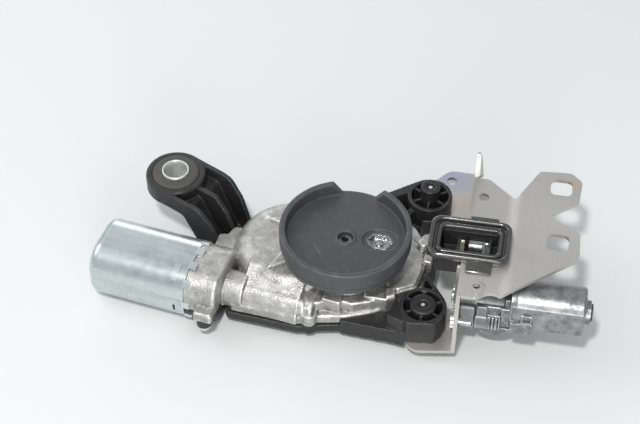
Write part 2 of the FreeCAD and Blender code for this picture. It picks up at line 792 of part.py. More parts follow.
def shelf_blocks():
    # small raised blocks on the front of the upper step and the pegs at its right end
    shapes = [slab([(-7.6, -29.6, 1), (2.4, -31.2, 1), (2.4, -24, 1), (-6.4, -22, 1)], seam_z, shelf_z + 1.8)]
    shapes.append(slab([(13.6, -23.5, 0.8), (25, -24.2, 0.8), (30, -21.8, 0.8), (29, -15.4, 0.8),
                        (14, -16, 0.8)], seam_z, shelf_z + 1.2))
    cap = [(25.2, -23.6, 0.5), (29.6, -21.6, 0.5), (28.8, -16, 0.5), (24.6, -17, 0.5)]
    cap = slab(cap, shelf_z, shelf_z + 2.6)
    shapes.append(cap.makeFillet(0.6, edges_at(cap, shelf_z + 2.6)))
    shapes.append(slab([(30, -16, 2), (38.5, -11, 2), (40.6, 0, 2), (39.5, 15, 2), (30, 24, 3), (24, 20, 3),
                        (24, -14, 3)], shelf_z - 1, shelf_z + 1.2))
    peg = cyl(39.4, 15.4, seam_z, shelf_z + 5.6, 2.7)
    shapes.append(peg.makeFillet(0.9, edges_at(peg, shelf_z + 5.6)))
    step = slab([(40.6, 4.6, 1), (45.2, 4.6, 1), (45.6, 9.6, 1), (41, 10.4, 1)], seam_z, shelf_z + 2.4)
    shapes.append(step.makeFillet(0.8, edges_at(step, shelf_z + 2.4)))
    return shapes


def housing_outside():
    low = slab(case_corners(), seam_z, low_tier_z)
    low = low.makeFillet(1.0, edges_at(low, low_tier_z))
    shelf = slab(shelf_corners(), seam_z, shelf_z)
    shelf = shelf.makeFillet(0.7, edges_at(shelf, shelf_z))
    dome = cyl(wheel_x, wheel_y, seam_z, dome_z, dome_r)
    dome = dome.makeFillet(dome_soft, edges_at(dome, dome_z))
    gear_cap = cyl(0, 0, shelf_z - 2, roof_z + 2.1, output_pitch_r + 4)
    shoulder = cone(0, 0, roof_z + 2.1, neck_z - 1.6, output_pitch_r + 4, 13.0)
    neck = cyl(0, 0, 24, neck_z, shaft_r + bush_wall + 2.6)
    shapes = [low, shelf, dome, gear_cap, shoulder, neck, ear_block(), motor_place(worm_body())]
    shapes.append(wedge_rib((-38.2, -20.2), (-27.2, -12.2), (-31.6, -4.2), 27.2))
    shapes.append(wedge_rib((-44.2, 15.6), (-36.4, 13.2), (-36.0, 18.4), 26.8))
    shapes += shelf_blocks()
    for x, y in cover_screws:
        shapes.append(cyl(x, y, seam_z, low_tier_z + 1.5, lug_r))
    body = fuse(shapes)
    body = body.cut(box(-140, 140, -140, 140, -60, seam_z))
    flange = motor_place(flange_body()).cut(box(-140, 140, -140, 140, -60, flange_seam_z))
    x, y = flange_screw
    lug = slab([(x - 5, y - 2.8, 1), (x + 4.6, y - 4, 1), (x + 5, y + 7, 1), (x - 5, y + 8, 1)],
               flange_seam_z, 15.5)
    return fuse([body, flange, lug.makeChamfer(0.9, edges_at(lug, 15.5))])


def gear_housing():
    wheel_room = cyl(wheel_x, wheel_y, seam_z - 1, motor_z + wheel_face / 2 + part_gap, wheel_room_r)
    pinion_room = cyl(wheel_x, wheel_y, seam_z, roof_z, pinion_pitch_r + 2)
    gear_room = cyl(0, 0, motor_z + wheel_face / 2, roof_z, output_pitch_r + 2)
    board_room = slab(grown(case_corners(), -room_wall), seam_z - 1, seam_z + 2.2)
    rooms = [wheel_room, pinion_room, gear_room, board_room]
    rooms.append(cyl(0, 0, roof_z - 1, neck_z + 1, shaft_r + bush_wall))
    rooms.append(box(plug_x - plug_half, plug_x + plug_half, 28, 50, seam_z - 1, seam_z + 6))
    bore = cyl_x(front_bearing_x0, worm_half + 5, 0, 0, worm_room_r)
    seat = cyl_x(front_bearing_x0, front_bearing_x1, 0, 0, front_bearing_r)
    brush_room = cyl_x(flange_x - 1, brush_room_end, 0, 0, brush_room_r)
    throat = cyl_x(brush_room_end - 1, front_bearing_x0 + 1, 0, 0, 5.0)
    cap_seat = cyl_x(worm_half + 4, thrust_end_x, 0, 0, thrust_cap_r)
    drain = box(flange_x + 17.6, flange_x + 22.4, -12, -7.2, -7.5, -3.4)
    rooms += [motor_place(s) for s in (bore, seat, brush_room, throat, cap_seat, drain)]
    for x, y in cover_screws:
        rooms.append(cyl(x, y, seam_z - 1, screw_end_z + 0.5, cover_screw_r))
    rooms.append(cyl(flange_screw[0], flange_screw[1], 9, flange_seam_z + 3.5, cover_screw_r))
    return housing_outside().cut(fuse(rooms))


def cover_seal():
    # thin gasket between the casting and the rim of the cover
    outer = Part.Face(rounded_wire(grown(case_corners(), -0.8), seam_z - seal_h))
    inner = Part.Face(rounded_wire(grown(case_corners(), -case_wall + 0.4), seam_z - seal_h))
    seal = outer.cut(inner).extrude(Vector(0, 0, seal_h))
    return seal.cut(fuse([cyl(x, y, 0, seam_z + 1, cover_screw_r + 0.3) for x, y in cover_screws]))


def ribbed_boss(centre, post_r, post_h, start):
    # open cup with a screw post held by six ribs
    x, y = centre
    top = tab_z + boss_h
    wall = cyl(x, y, tab_z, top, boss_r).cut(cyl(x, y, tab_z + 2.2, top + 1, boss_r - boss_wall))
    post = cyl(x, y, tab_z, top + post_h, post_r)
    rib = box(x + post_r - 1, x + boss_r - 1, y - 0.7, y + 0.7, tab_z + 1, top - 0.8)
    return [wall, post] + ring_copies(rib, 6, start, (x, y))


def front_arm():
    x, y = front_boss
    top = tab_z + boss_h
    room = cyl(x, y, tab_z + 2.2, top + 9, boss_r - boss_wall)
    face_corners = [(x - 6.6, y - boss_r - 0.9, 1), (x + 7.4, y - boss_r + 0.6, 1)]
    face_corners += [(x + 12, y - 5, 1), (x - 11, y - 6, 2)]
    face = slab(face_corners, tab_z, top)
    wall = slab([(2, -34.6, 1.5), (14, -35.5, 1.5), (30, -36.6, 1.5), (39.5, -38.3, 0.5),
                 (39.5, -20.0, 1), (24, -20.0, 1), (4, -30.0, 1)], 0, 10)
    upper = slab([(27, -34, 1), (36, -37.4, 1), (38, -29, 1), (30, -22, 1)], 8, top - 1)
    drop = pear(front_boss, boss_r, front_apex, 3.0, tab_z, top)
    hollow = pear(front_boss, boss_r - boss_wall, front_apex, 0.9, tab_z + 2.2, top + 9)
    spine = box(-0.7, 0.7, front_post_r, front_apex[1] - y + 2, 0, boss_h - 0.9)
    lean = math.degrees(math.atan2(x - front_apex[0], front_apex[1] - y))
    spine.rotate(Vector(0, 0, 0), Vector(0, 0, 1), lean)
    spine.translate(Vector(x, y, tab_z))
    stand = cyl(front_apex[0], front_apex[1], 0, tab_z + 1, 3.0)
    groove = slab(grown(face_corners, 0.6), tab_z + 2.6, tab_z + 3.2)
    groove = groove.cut(slab(grown(face_corners, -0.4), 0, top))
    walls = [s.cut(room) for s in (face.cut(groove), wall, upper)]
    return walls + [drop.cut(hollow), spine, stand] + ribbed_boss(front_boss, front_post_r, front_post_h, 30)


def rear_arm():
    x, y = rear_boss
    top = tab_z + boss_h
    room = cyl(x, y, tab_z + 2.2, top + 9, boss_r - boss_wall)
    back = slab([(12, 43.6, 2), (34, 60, 2), (30.5, 63.8, 3), (10, 48, 2)], 0, top)
    front = slab([(20, 36, 1), (24, 34, 1), (31, 44, 1), (28, 46, 1)], 0, top - 4)
    floor = slab([(8, 34, 2), (44, 30, 2), (46, 48, 3), (30, 62, 3), (10, 47, 2)], 0, 6)
    return [s.cut(room) for s in (back, front, floor)] + ribbed_boss(rear_boss, rear_post_r, rear_post_h, 30)


def grommet_arm():
    # swan-neck arm: an eye for the grommet, two outer walls and a rib between them
    eye_r = grommet_r + eye_wall
    low = eye_top - eye_h
    side = [(0, low, 0), (17.5, low, 4), (26, 9, 10), (31, 0, 2), (50, 0, 0), (50, 5.5, 0)]
    side += [(42, 6.5, 4), (35, 24, 8), (27, eye_top - 0.6, 7), (0, eye_top - 0.6, 0)]
    floor = [(8, low + arm_wall, 0), (18.5, low + arm_wall, 3), (28, 9.5, 8), (33, arm_wall, 2)]
    floor += [(60, arm_wall, 0), (60, 60, 0), (8, 60, 0)]
    half = eye_r - 0.1
    plan = slab([(-2, -half, 0), (20, -half, 9), (52, -12.5, 0), (52, 12.5, 0), (20, half, 9),
                 (-2, half, 0)], -1, 50)
    inner = half - arm_wall
    room = slab([(-2, -inner, 0), (20, -inner, 9), (60, -9.0, 0), (60, 9.0, 0), (20, inner, 9),
                 (-2, inner, 0)], -1, 70)
    band = front_plate(side, -eye_r, eye_r).common(plan)
    pocket = front_plate(floor, -eye_r, eye_r).common(room)
    pocket = pocket.cut(cyl(0, 0, -1, 70, eye_r - 0.2))
    rib = box(0, 60, -1.3, 1.3, -1, eye_top - 2.0)
    pocket = pocket.cut(rib)
    eye = cyl(0, 0, low, eye_top, eye_r)
    eye = eye.makeFillet(1.0, edges_at(eye, eye_top))
    arm = fuse([band.cut(pocket), eye])
    arm = arm.cut(cyl(0, 0, low - 1, eye_top + 5, grommet_r - grommet_lip))
    arm = arm.cut(cyl(0, 0, low + 3.2, eye_top + 1, grommet_r + 0.02))
    arm.rotate(Vector(0, 0, 0), Vector(0, 0, 1), arm_angle)
    arm.translate(Vector(grommet_x, grommet_y, 0))
    return arm


def grommet():
    x, y = grommet_x, grommet_y
    low = eye_top - eye_h
    shapes = [cyl(x, y, low + 3.2, eye_top + 1.4, grommet_r)]
    shapes.append(cyl(x, y, low - 2.6, low + 4, grommet_r - grommet_lip))
    lip = cone(x, y, low - 2.6, low, grommet_r - 0.4, grommet_r + 0.6)
    shapes.append(lip.cut(cyl(x, y, low - 0.2, low + 1, 20)))
    body = fuse(shapes)
    body = body.makeFillet(0.8, edges_at(body, eye_top + 1.4))
    return body.cut(cyl(x, y, 0, 50, sleeve_r))


def grommet_sleeve():
    x, y = grommet_x, grommet_y
    sleeve = cyl(x, y, sleeve_bottom, sleeve_top, sleeve_r)
    flange = cyl(x, y, sleeve_bottom - 1.2, sleeve_bottom, sleeve_r + 3)
    return fuse([sleeve, flange]).cut(cyl(x, y, 0, 50, sleeve_bore))


def mount_cover():
    outline = grown(case_corners(), 1.0)
    tray = slab(outline, 0, seam_z - seal_h)
    tray = tray.makeFillet(0.8, edges_at(tray, 0))
    shapes = [tray, cyl(wheel_x, wheel_y, 0, seam_z - seal_h, dome_r + 1)]
    for x, y in cover_screws:
        shapes.append(cyl(x, y, 0, seam_z, lug_r))
    shapes.append(cyl(flange_screw[0], flange_screw[1], 5, flange_seam_z, lug_r - 0.2))
    scoop = motor_place(flange_body()).common(box(-140, 140, -140, 140, -60, flange_seam_z))
    shapes.append(scoop)
    rail = slab([(41, -14, 2), (47, -12, 2), (47, 44, 2), (36, 44, 2), (36, 20, 2), (41, 10, 2)], 0, 12)
    shapes.append(rail)
    shapes.append(grommet_arm())
    shapes += front_arm()
    shapes += rear_arm()
    cover = fuse(shapes)
    cover = cover.cut(housing_outside())
    cuts = [slab(grown(case_corners(), -room_wall), cover_floor_z, seam_z + 30)]
    cuts.append(slab(grown(case_corners(), 0.1), seam_z - seal_h, 60))
    cuts.append(cyl(wheel_x, wheel_y, cover_floor_z, 60, dome_r - case_wall))
    cuts.append(cyl(wheel_x, wheel_y, seam_z, 60, dome_r + 0.1))
    cuts += [slab(grown(corners, 0.3), -5, tab_z) for corners in (front_tab_corners, rear_tab_corners)]
    brush_room = cyl_x(flange_x - 1, brush_room_end, 0, 0, brush_room_r)
    yoke_room = yoke_block(flange_x - 80, flange_x, 0.4)
    shaft_room = cyl_x(flange_x + 12, worm_half + 5, 0, 0, 9)
    cuts += [motor_place(s) for s in (brush_room, yoke_room, shaft_room)]
    for centre, post_h in ((front_boss, front_post_h), (rear_boss, rear_post_h)):
        cuts.append(cyl(centre[0], centre[1], -5, tab_z + boss_h + post_h + 1, boss_screw_r))
    for x, y in cover_screws:
        cuts.append(cyl(x, y, -1, 9, cover_screw_r + 0.2))
        cuts.append(cyl(x, y, -1, 1.8, 3.3))
    cuts.append(cyl(flange_screw[0], flange_screw[1], 0, 12, cover_screw_r + 0.2))
    cuts.append(box(plug_x - plug_half - 4.2, plug_x + plug_half + 4.2, 37.6, 60, -1, 30))
    seats = fuse([cyl(0, 0, 2, 3.0, 7.4), cyl(wheel_x, wheel_y, 2, 3.0, 7.4)])
    return cover.cut(fuse(cuts)).fuse(seats).removeSplitter()


def control_board():
    board = slab(grown(case_corners(), -case_wall - 2.2), board_z, board_z + board_t)
    holes = [cyl(0, 0, 2, 6, 8.5), cyl(wheel_x, wheel_y, 2, 6, 8.5)]
    holes.append(motor_place(box(flange_x, worm_half + 9, -14, 9.5, -12, 12)))
    return board.cut(fuse(holes))


def connector_shroud():
    # plug housing at the back wall, open away from the gear case
    y0 = plug_y
    half = plug_half + plug_wall
    shroud = slab(rect(plug_x - half, plug_x + half, y0, y0 + 15, 1.2), 0.4, 14.6)
    hollow = box(plug_x - plug_half, plug_x + plug_half, y0 + 3, y0 + 20, 2.4, 12.6)
    reach = plug_half - 0.1
    tongue = box(plug_x - reach, plug_x + reach, 32.5, y0 + 1, seam_z + 0.1, seam_z + 5.9)
    body = fuse([shroud.cut(hollow), tongue])
    pins = [box(x - 0.9, x + 0.9, 31, y0 + 14, pin_z, pin_z + 1) for x in plug_pins]
    return body.cut(fuse(pins))


def connector_pins():
    pins = []
    for x in plug_pins:
        blade = box(x - 0.9, x + 0.9, 31.4, plug_y + 12, pin_z, pin_z + 1)
        leg = box(x - 0.5, x + 0.5, 31.4, 32.4, board_z + board_t, pin_z + 0.4)
        pins.append(fuse([blade, leg]))
    return Part.makeCompound(pins)


def screw(x, y, head_z0, head_z1, head_r, shank_r, tip_z):
    # head below, shank upwards, with a six-sided recess in the head
    head = cyl(x, y, head_z0, head_z1, head_r)
    shank = cyl(x, y, head_z1, tip_z, shank_r)
    recess = hexagon(x, y, head_z0, 1.7).extrude(Vector(0, 0, 1.2))
    return fuse([head, shank]).cut(recess)


def cover_screw_group():
    shank_r = cover_screw_r - 0.05
    screws = [screw(x, y, 0.2, 1.8, cover_screw_head_r, shank_r, screw_end_z) for x, y in cover_screws]
    x, y = flange_screw
    screws.append(screw(x, y, 2.6, 5.0, cover_screw_head_r, shank_r, flange_seam_z + 3))
    return Part.makeCompound(screws)


def boss_screws():
    screws = []
    for centre, post_h in ((front_boss, front_post_h), (rear_boss, rear_post_h)):
        x, y = centre
        under = tab_z - sheet
        head = hexagon(x, y, under - 5.6, 4.6).extrude(Vector(0, 0, 5))
        flange = cyl(x, y, under - 1.4, under, 6.4)
        shank = cyl(x, y, under, tab_z + boss_h + post_h - 0.6, boss_screw_r - 0.02)
        screws.append(fuse([head, flange, shank]))
    return Part.makeCompound(screws)


front_tab_corners = [(web_x + sheet, web_bottom_y, 2), (web_x + sheet, -12, 0), (40, -12, 6)]
front_tab_corners += [(34.8, -30, 8), (40, -43.4, 8)]
rear_tab_corners = [(web_x + sheet, 40, 0), (web_x + sheet, 90, 4), (46, 90.4, 8), (27, 66, 8)]
rear_tab_corners += [(26, 46, 6), (40, 40, 3)]


def latch_bracket():
    top = deck_z
    deck = [(web_x, -33.6, 0), (73.4, -30.0, 2), (78.5, -32.8, 2), (83.5, -35.4, 1.5)]
    deck += [(119.0, -2.0, 3), (120.3, 2.0, 2), (119.9, 17.0, 3), (102.6, 27.6, 2.2)]
    deck += [(117.8, 39.4, 3), (118.7, 55.0, 5), (112.4, 60.7, 4), (96.0, 59.4, 3)]
    deck += [(84.8, 36.6, 1.2), (69.9, 49.4, 3), (web_x, 50.0, 0)]
    plate = slab(deck, top - sheet, top)
    web = [(web_bottom_y, tab_z - sheet, 0), (-36, 30, 3), (-33.6, top, 0), (50.0, top, 0)]
    web += [(53.6, top + horn_h, 1.2), (58, 36, 4), (84, 12, 4), (84, tab_z - sheet, 0)]
    web_plate = side_plate(web, web_x, web_x + sheet)
    front_tab = slab(front_tab_corners, tab_z - sheet, tab_z)
    rear_tab = slab(rear_tab_corners, tab_z - sheet, tab_z)
    x, y, z, r = deck_small_hole
    rim = cone(x, y, top - 0.5, top + 0.7, r + 2.4, r + 0.9)
    bracket = fuse([plate, web_plate, front_tab, rear_tab, rim])
    cuts = []
    for side in (-1, 1):
        cx = ear_slot_x - side * 0.4
        cy = ear_slot_y + side * ear_slot_spacing / 2
        half = ear_slot / 2
        slot = [(cx - half, cy - half, ear_slot_corner), (cx + half, cy - half, ear_slot_corner)]
        slot += [(cx + half, cy + half, ear_slot_corner), (cx - half, cy + half, ear_slot_corner)]
        cuts.append(slab(slot, top - 5, top + 5))
    for x, y, z, r in (deck_hole, deck_small_hole, rear_tab_hole):
        cuts.append(cyl(x, y, z - sheet - 1, z + 2, r))
    for centre in (front_boss, rear_boss):
        cuts.append(cyl(centre[0], centre[1], -5, 10, boss_screw_r + 0.3))
    cuts.append(box(web_x - 5, frame_x1 - 1.6, frame_y0 + 1.4, frame_y1 - 1.4, top - sheet - 1, top + 9))
    cuts.append(box(web_x - 5, web_x + sheet + 1, frame_y0 + 1.4, claw_y + 6.5, window_z, top - sheet))
    cuts.append(cyl_x(web_x - 4, web_x + sheet + 1, pawl_y, pawl_z, pawl_pin_r))
    for y, z in latch_rivets_at + [act_pin_at]:
        cuts.append(cyl_x(web_x - 4, web_x + sheet + 1, y, z, rivet_r))
    return bracket.cut(fuse(cuts))


def rect(x0, x1, y0, y1, radius):
    return [(x0, y0, radius), (x1, y0, radius), (x1, y1, radius), (x0, y1, radius)]


def frame_ring(inset_a, inset_b, z0, z1, soft):
    # one bead of the frame, between two insets from the outer edge
    outer = rect(frame_x0 + inset_a, frame_x1 - inset_a, frame_y0 + inset_a, frame_y1 - inset_a,
                 max(frame_corner - inset_a * 0.5, 1.5))
    inner = rect(frame_x0 + inset_b, frame_x1 - inset_b, frame_y0 + inset_b, frame_y1 - inset_b,
                 max(frame_corner - inset_b * 0.5, 1.5))
    ring = slab(outer, z0, z1).cut(slab(inner, z0 - 1, z1 + 1))
    return ring.makeFillet(soft, edges_at(ring, z1))


def latch_frame():
    # stepped frame round the latch opening, clipped to the bracket by two tabs
    top = frame_top
    shapes = [frame_ring(0, 6.3, deck_z, deck_z + 1.4, 0.5)]
    shapes.append(frame_ring(0.0, 2.6, deck_z, top, 1.1))
    shapes.append(frame_ring(3.9, 6.3, deck_z, top - 1.2, 0.8))
    tab = [(-19.0, deck_z, 0), (-11, deck_z, 0), (-11, deck_z + 2.6, 0), (-14.2, deck_z + 2.6, 0.6),
           (-18.2, deck_z + 1.2, 0.6), (-19.0, deck_z + 0.6, 0)]
    shapes.append(side_plate(tab, 64.0, 77.0))
    back = [(62.8, 13, 0), (77.8, 13, 0), (77.4, 20.4, 1), (63.2, 20.4, 1)]
    shapes.append(slab(back, deck_z, deck_z + 1.2))
    return fuse(shapes)


def latch_case():
    # dark liner under the frame: shallow on the left, a short skirt round the mechanism
    wall = 1.5
    x0, x1 = opening_x0 - wall, opening_x1 + wall
    y0, y1 = opening_y0 - wall - 1.4, opening_y1 + wall
    top = deck_z - 0.1
    left_end = latch_left_x - 0.3
    left = slab(rect(x0, left_end, y0, y1, 1.2), case_left_z, top)
    left = left.cut(box(opening_x0, left_end - wall + 9, y0 + wall, opening_y1, case_left_z + wall, top + 1))
    skirt = box(left_end - 2, x1, y0, y1, top - 6, top)
    skirt = skirt.cut(box(left_end - 3, opening_x1, y0 + wall, opening_y1, top - 9, top + 1))
    pocket_x = latch_right_x + latch_plate + 0.2
    pocket = box(pocket_x, x1, y0, y1, top - 10, top)
    pocket = pocket.cut(box(pocket_x + 1.2, opening_x1, y0 + wall, opening_y1, top - 8.6, top + 1))
    pocket = pocket.cut(box(pocket_x - 1, pocket_x + 2, y0 + wall, opening_y1, top - 4, top + 1))
    end_wall = box(left_end - wall, left_end, y0, y1, case_left_z, top - 5)
    return fuse([left, skirt, pocket, end_wall])


def latch_side(front_low, front_high):
    # outline of a side plate with the striker's slot; the two plates differ at the front
    corners = [(front_low, 0.5, 3), (4, -1.5, 4), (20, 4, 4), (21, 22, 4), (15.5, 35.5, 2)]
    corners += [(8.6, 35.5, 1.5), (6.6, 22, 0), (6.6, 15.5, 4.6), (-2.8, 15.5, 4.6), (-2.8, 22, 0)]
    return corners + [(-5, 35.5, 1.5), (-9, 35.5, 2), (front_high, 12, 3), (front_low, 9, 2)]


def latch_side_plate(x0, corners):
    plate = side_plate(corners, x0, x0 + latch_plate)
    holes = [cyl_x(x0 - 1, x0 + 4, claw_y, claw_z, claw_pin_r + run_gap)]
    holes.append(cyl_x(x0 - 1, x0 + 4, pawl_y, pawl_z, pawl_pin_r + run_gap))
    if x0 < web_x:
        for y, z in latch_rivets_at:
            holes.append(cyl_x(x0 - 1, x0 + 4, y, z, rivet_r))
    return plate.cut(fuse(holes))


def latch_claw():
    # forked claw, drawn shut with its mouth towards -Y and then turned open
    half = striker_slot / 2
    shape = [(-4.4, half, 4.2), (-4.4, -half, 4.2), (-12.5, -half, 1), (-12.5, -9.5, 2), (-6, -12, 2)]
    shape += [(2, -11, 3), (7.5, -5, 3), (7.5, 3, 3), (4, 9.0, 4), (-7, 9.8, 4), (-15, 7.6, 1.2)]
    shape += [(-15, half, 1)]
    claw = side_plate(shape, latch_left_x + latch_plate + 2.2, latch_right_x - 1.2)
    claw.rotate(Vector(0, 0, 0), Vector(1, 0, 0), -claw_open)
    claw.translate(Vector(0, claw_y, claw_z))
    return claw.cut(cyl_x(50, 90, claw_y, claw_z, claw_pin_r + run_gap))


def latch_pin(y, z, r, head_r):
    x0 = latch_left_x
    x1 = latch_right_x + latch_plate
    heads = [cyl_x(x0 - 1.2, x0, y, z, head_r), cyl_x(x1, x1 + 1.2, y, z, head_r)]
    return fuse([cyl_x(x0, x1, y, z, r)] + heads)


def pawl():
    # lever with a nose just clear of the claw's rim and a tail under the release arm
    shape = [(-15.5, 3.2, 1.2), (-5, -2.4, 2), (0, -3.9, 3.5), (4, -1.5, 3), (3.4, 3.0, 2.2)]
    shape += [(-1.2, 3.4, 1), (-5.0, 7.0, 0.4), (-7.0, 7.6, 0.5), (-8.6, 5.4, 1.2), (-15.5, 6.0, 1.2)]
    body = side_plate(shape, latch_left_x + latch_plate + 2.4, latch_right_x - 1.2)
    body.translate(Vector(0, pawl_y, pawl_z))
    return body.cut(cyl_x(50, 90, pawl_y, pawl_z, pawl_pin_r + run_gap))


def coil(x0, x1, y, z, radius, wire_r, turns):
    # torsion spring wound round a pin
    pitch = (x1 - x0) / turns
    helix = Part.makeHelix(pitch, x1 - x0, radius)
    ring = Part.Wire(Part.makeCircle(wire_r, Vector(radius, 0, 0), Vector(0, 1, 0)))
    spring = Part.Wire(helix.Edges).makePipeShell([ring], True, True)
    spring.rotate(Vector(0, 0, 0), Vector(0, 1, 0), 90)
    spring.translate(Vector(x0, y, z))
    return spring


def claw_spring():
    x0 = latch_left_x + latch_plate + 0.5
    return coil(x0, x0 + 1.3, claw_y, claw_z, 4.0, 0.3, 1.5)


def rivets():
    pieces = []
    for y, z in latch_rivets_at:
        x1 = web_x + sheet
        shank = cyl_x(latch_left_x, x1, y, z, rivet_r - 0.02)
        pieces.append(fuse([shank, cyl_x(latch_left_x - 1.3, latch_left_x, y, z, 3.4)]))
    return Part.makeCompound(pieces)


# latch actuator

def flat_can(x0, x1, r, flat):
    round_part = cyl_x(x0, x1, act_y, act_z, r)
    return round_part.common(box(x0 - 1, x1 + 1, act_y - flat, act_y + flat, act_z - r - 1, act_z + r + 1))


def act_can():
    outside = flat_can(act_can_x0, act_can_x1, act_can_r, act_flat)
    far = [e for e in outside.Edges if e.BoundBox.XMin > act_can_x1 - 0.1]
    outside = outside.makeFillet(1.6, far)
    boss = cyl_x(act_can_x1 - 0.5, act_can_x1 + 2.6, act_y, act_z, 6.2)
    inside = flat_can(act_can_x0 - 1, act_can_x1 - 1.0, act_can_r - 1.0, act_flat - 1.0)
    bearing = cyl_x(act_can_x1 - 2, act_can_x1 + 1.6, act_y, act_z, act_shaft_r + run_gap)
    return fuse([outside, boss]).cut(fuse([inside, bearing]))


def act_magnets():
    ring = flat_can(act_can_x0 + 6, act_can_x0 + 27, act_can_r - 1.02, act_flat - 1.02)
    ring = ring.cut(cyl_x(act_can_x0, act_can_x0 + 40, act_y, act_z, act_core_r + 0.6))
    halves = []
    for side in (-1, 1):
        z0 = act_z + min(side * 4, side * 20)
        z1 = act_z + max(side * 4, side * 20)
        halves.append(ring.common(box(act_can_x0, act_can_x0 + 40, act_y - 20, act_y + 20, z0, z1)))
    return Part.makeCompound(halves)


def act_armature():
    thread, root_r = worm_thread(act_module, act_worm_pitch_r, 6.0, 0.06, 1.1)
    thread.rotate(Vector(0, 0, 0), Vector(1, 0, 0), -90)
    thread.translate(Vector(act_wheel_x, act_y, act_z))
    worm = cyl_x(act_wheel_x - 8, act_wheel_x + 7, act_y, act_z, root_r)
    shaft = cyl_x(act_wheel_x + 7, act_can_x1 + 1.2, act_y, act_z, act_shaft_r)
    core = cyl_x(act_can_x0 + 8, act_can_x0 + 25, act_y, act_z, act_core_r)
    slots = []
    for i in range(5):
        slot = box(act_can_x0 + 7, act_can_x0 + 26, act_y - 0.9, act_y + 0.9, act_z + 3.5, act_z + 9)
        slot.rotate(Vector(0, act_y, act_z), Vector(1, 0, 0), 72 * i)
        slots.append(slot)
    drum = cyl_x(act_can_x0 + 1.5, act_can_x0 + 6, act_y, act_z, 3.2)
    return fuse([worm, shaft, core.cut(fuse(slots)), drum, thread])


def act_wheel():
    wheel = worm_wheel_rim(act_wheel_teeth, act_module, act_worm_pitch_r, act_face, 0.07)
    wheel.translate(Vector(0, 0, -act_face / 2))
    wheel.rotate(Vector(0, 0, 0), Vector(0, 0, 1), -90)
    wheel.rotate(Vector(0, 0, 0), Vector(1, 0, 0), -90)
    wheel.translate(Vector(act_wheel_x, act_y, act_wheel_z))
    axle = cyl_y(act_y - 4.5, act_y + 9.3, act_wheel_x, act_wheel_z, act_axle_r)
    arm_x = act_wheel_x - release_arm
    arm = box(arm_x, act_wheel_x, release_y, release_y + 2, act_wheel_z - 2, act_wheel_z + 2)
    arm.rotate(Vector(act_wheel_x, 0, act_wheel_z), Vector(0, 1, 0), -release_slope)
    return fuse([wheel, axle, arm])


def act_flange():
    # end plate that the can is pushed on to, and the root of its clip
    plate = flat_can(act_can_x0 - 3, act_can_x0, act_can_r - 0.2, act_flat - 0.2)
    root = box(act_can_x0 - 2.4, act_can_x0 + 2.2, act_clip_y, act_y - act_flat + 3, act_z - 10.2, act_z - 3)
    taken = flat_can(act_can_x0, act_can_x1, act_can_r + 0.02, act_flat + 0.02)
    return plate.fuse(root.cut(taken))


def act_housing():
    # worm channel along X, round wheel chamber below it, end block against the bracket
    rooms = []
    front = act_y - act_flat
    channel = cyl_x(web_x + sheet + 4, act_can_x0, act_y, act_z, 6.4)
    chamber = cyl_y(act_cover_y, act_y + 7.0, act_wheel_x, act_wheel_z, act_wheel_pitch_r + 2.6)
    block = box(web_x + sheet, act_wheel_x - 9.6, front + 0.9, act_y + 4, act_wheel_z - 6, act_z + 2)
    block = block.makeChamfer(0.8, block.Edges)
    seat = box(web_x + sheet, web_x + sheet + 7, act_y - 6, act_y + 4, act_wheel_z - 4, act_z + 4)
    collar = flat_can(act_can_x0, act_can_x0 + 3.5, act_can_r - 1.05, act_flat - 1.05)
    shoulder = box(act_wheel_x + 5.2, act_can_x0 - 0.4, act_cover_y, act_y + 5, act_z + 1, act_z + 8)
    clip = box(act_can_x0 + 2, act_can_x0 + 9, act_clip_y, front - 0.1, act_z - 10.5, act_z - 2.6)
    hook = box(act_can_x0 + 2.8, act_can_x0 + 8.4, act_clip_y + 0.3, front - 0.1, act_z - 3, act_z + 3.3)
    body = fuse([channel, chamber, block, seat, act_flange(), collar, shoulder, clip, hook])
    rooms.append(box(act_can_x0 + 3.9, act_can_x0 + 7.4, front - 3, front, act_z - 1.9, act_z + 2.3))
    rooms.append(box(act_can_x0 + 6.9, act_can_x0 + 7.5, front - 3, front, act_z - 11, act_z - 5))
    rooms.append(cyl_x(act_wheel_x - 9, act_can_x0 + 4, act_y, act_z, act_worm_pitch_r + 1.0))
    rooms.append(cyl_x(act_can_x0 - 1, act_can_x0 + 9, act_y, act_z, 9.5))
    half = act_face / 2 + 0.4
    rooms.append(cyl_y(act_y - half, act_y + half, act_wheel_x, act_wheel_z, act_wheel_pitch_r + 0.9))
    rooms.append(cyl_y(act_y - 5, act_y + 9, act_wheel_x, act_wheel_z, act_axle_r + run_gap))
    rooms.append(cyl_x(web_x, web_x + sheet + 7, act_pin_at[0], act_pin_at[1], rivet_r))
    return body.cut(fuse(rooms))


def cover_block(x0, x1, depth, z0, z1):
    # raised block on the front of the lid, placed from the wheel's axis
    y1 = act_cover_y
    return box(act_wheel_x + x0, act_wheel_x + x1, y1 - depth, y1, act_wheel_z + z0, act_wheel_z + z1)


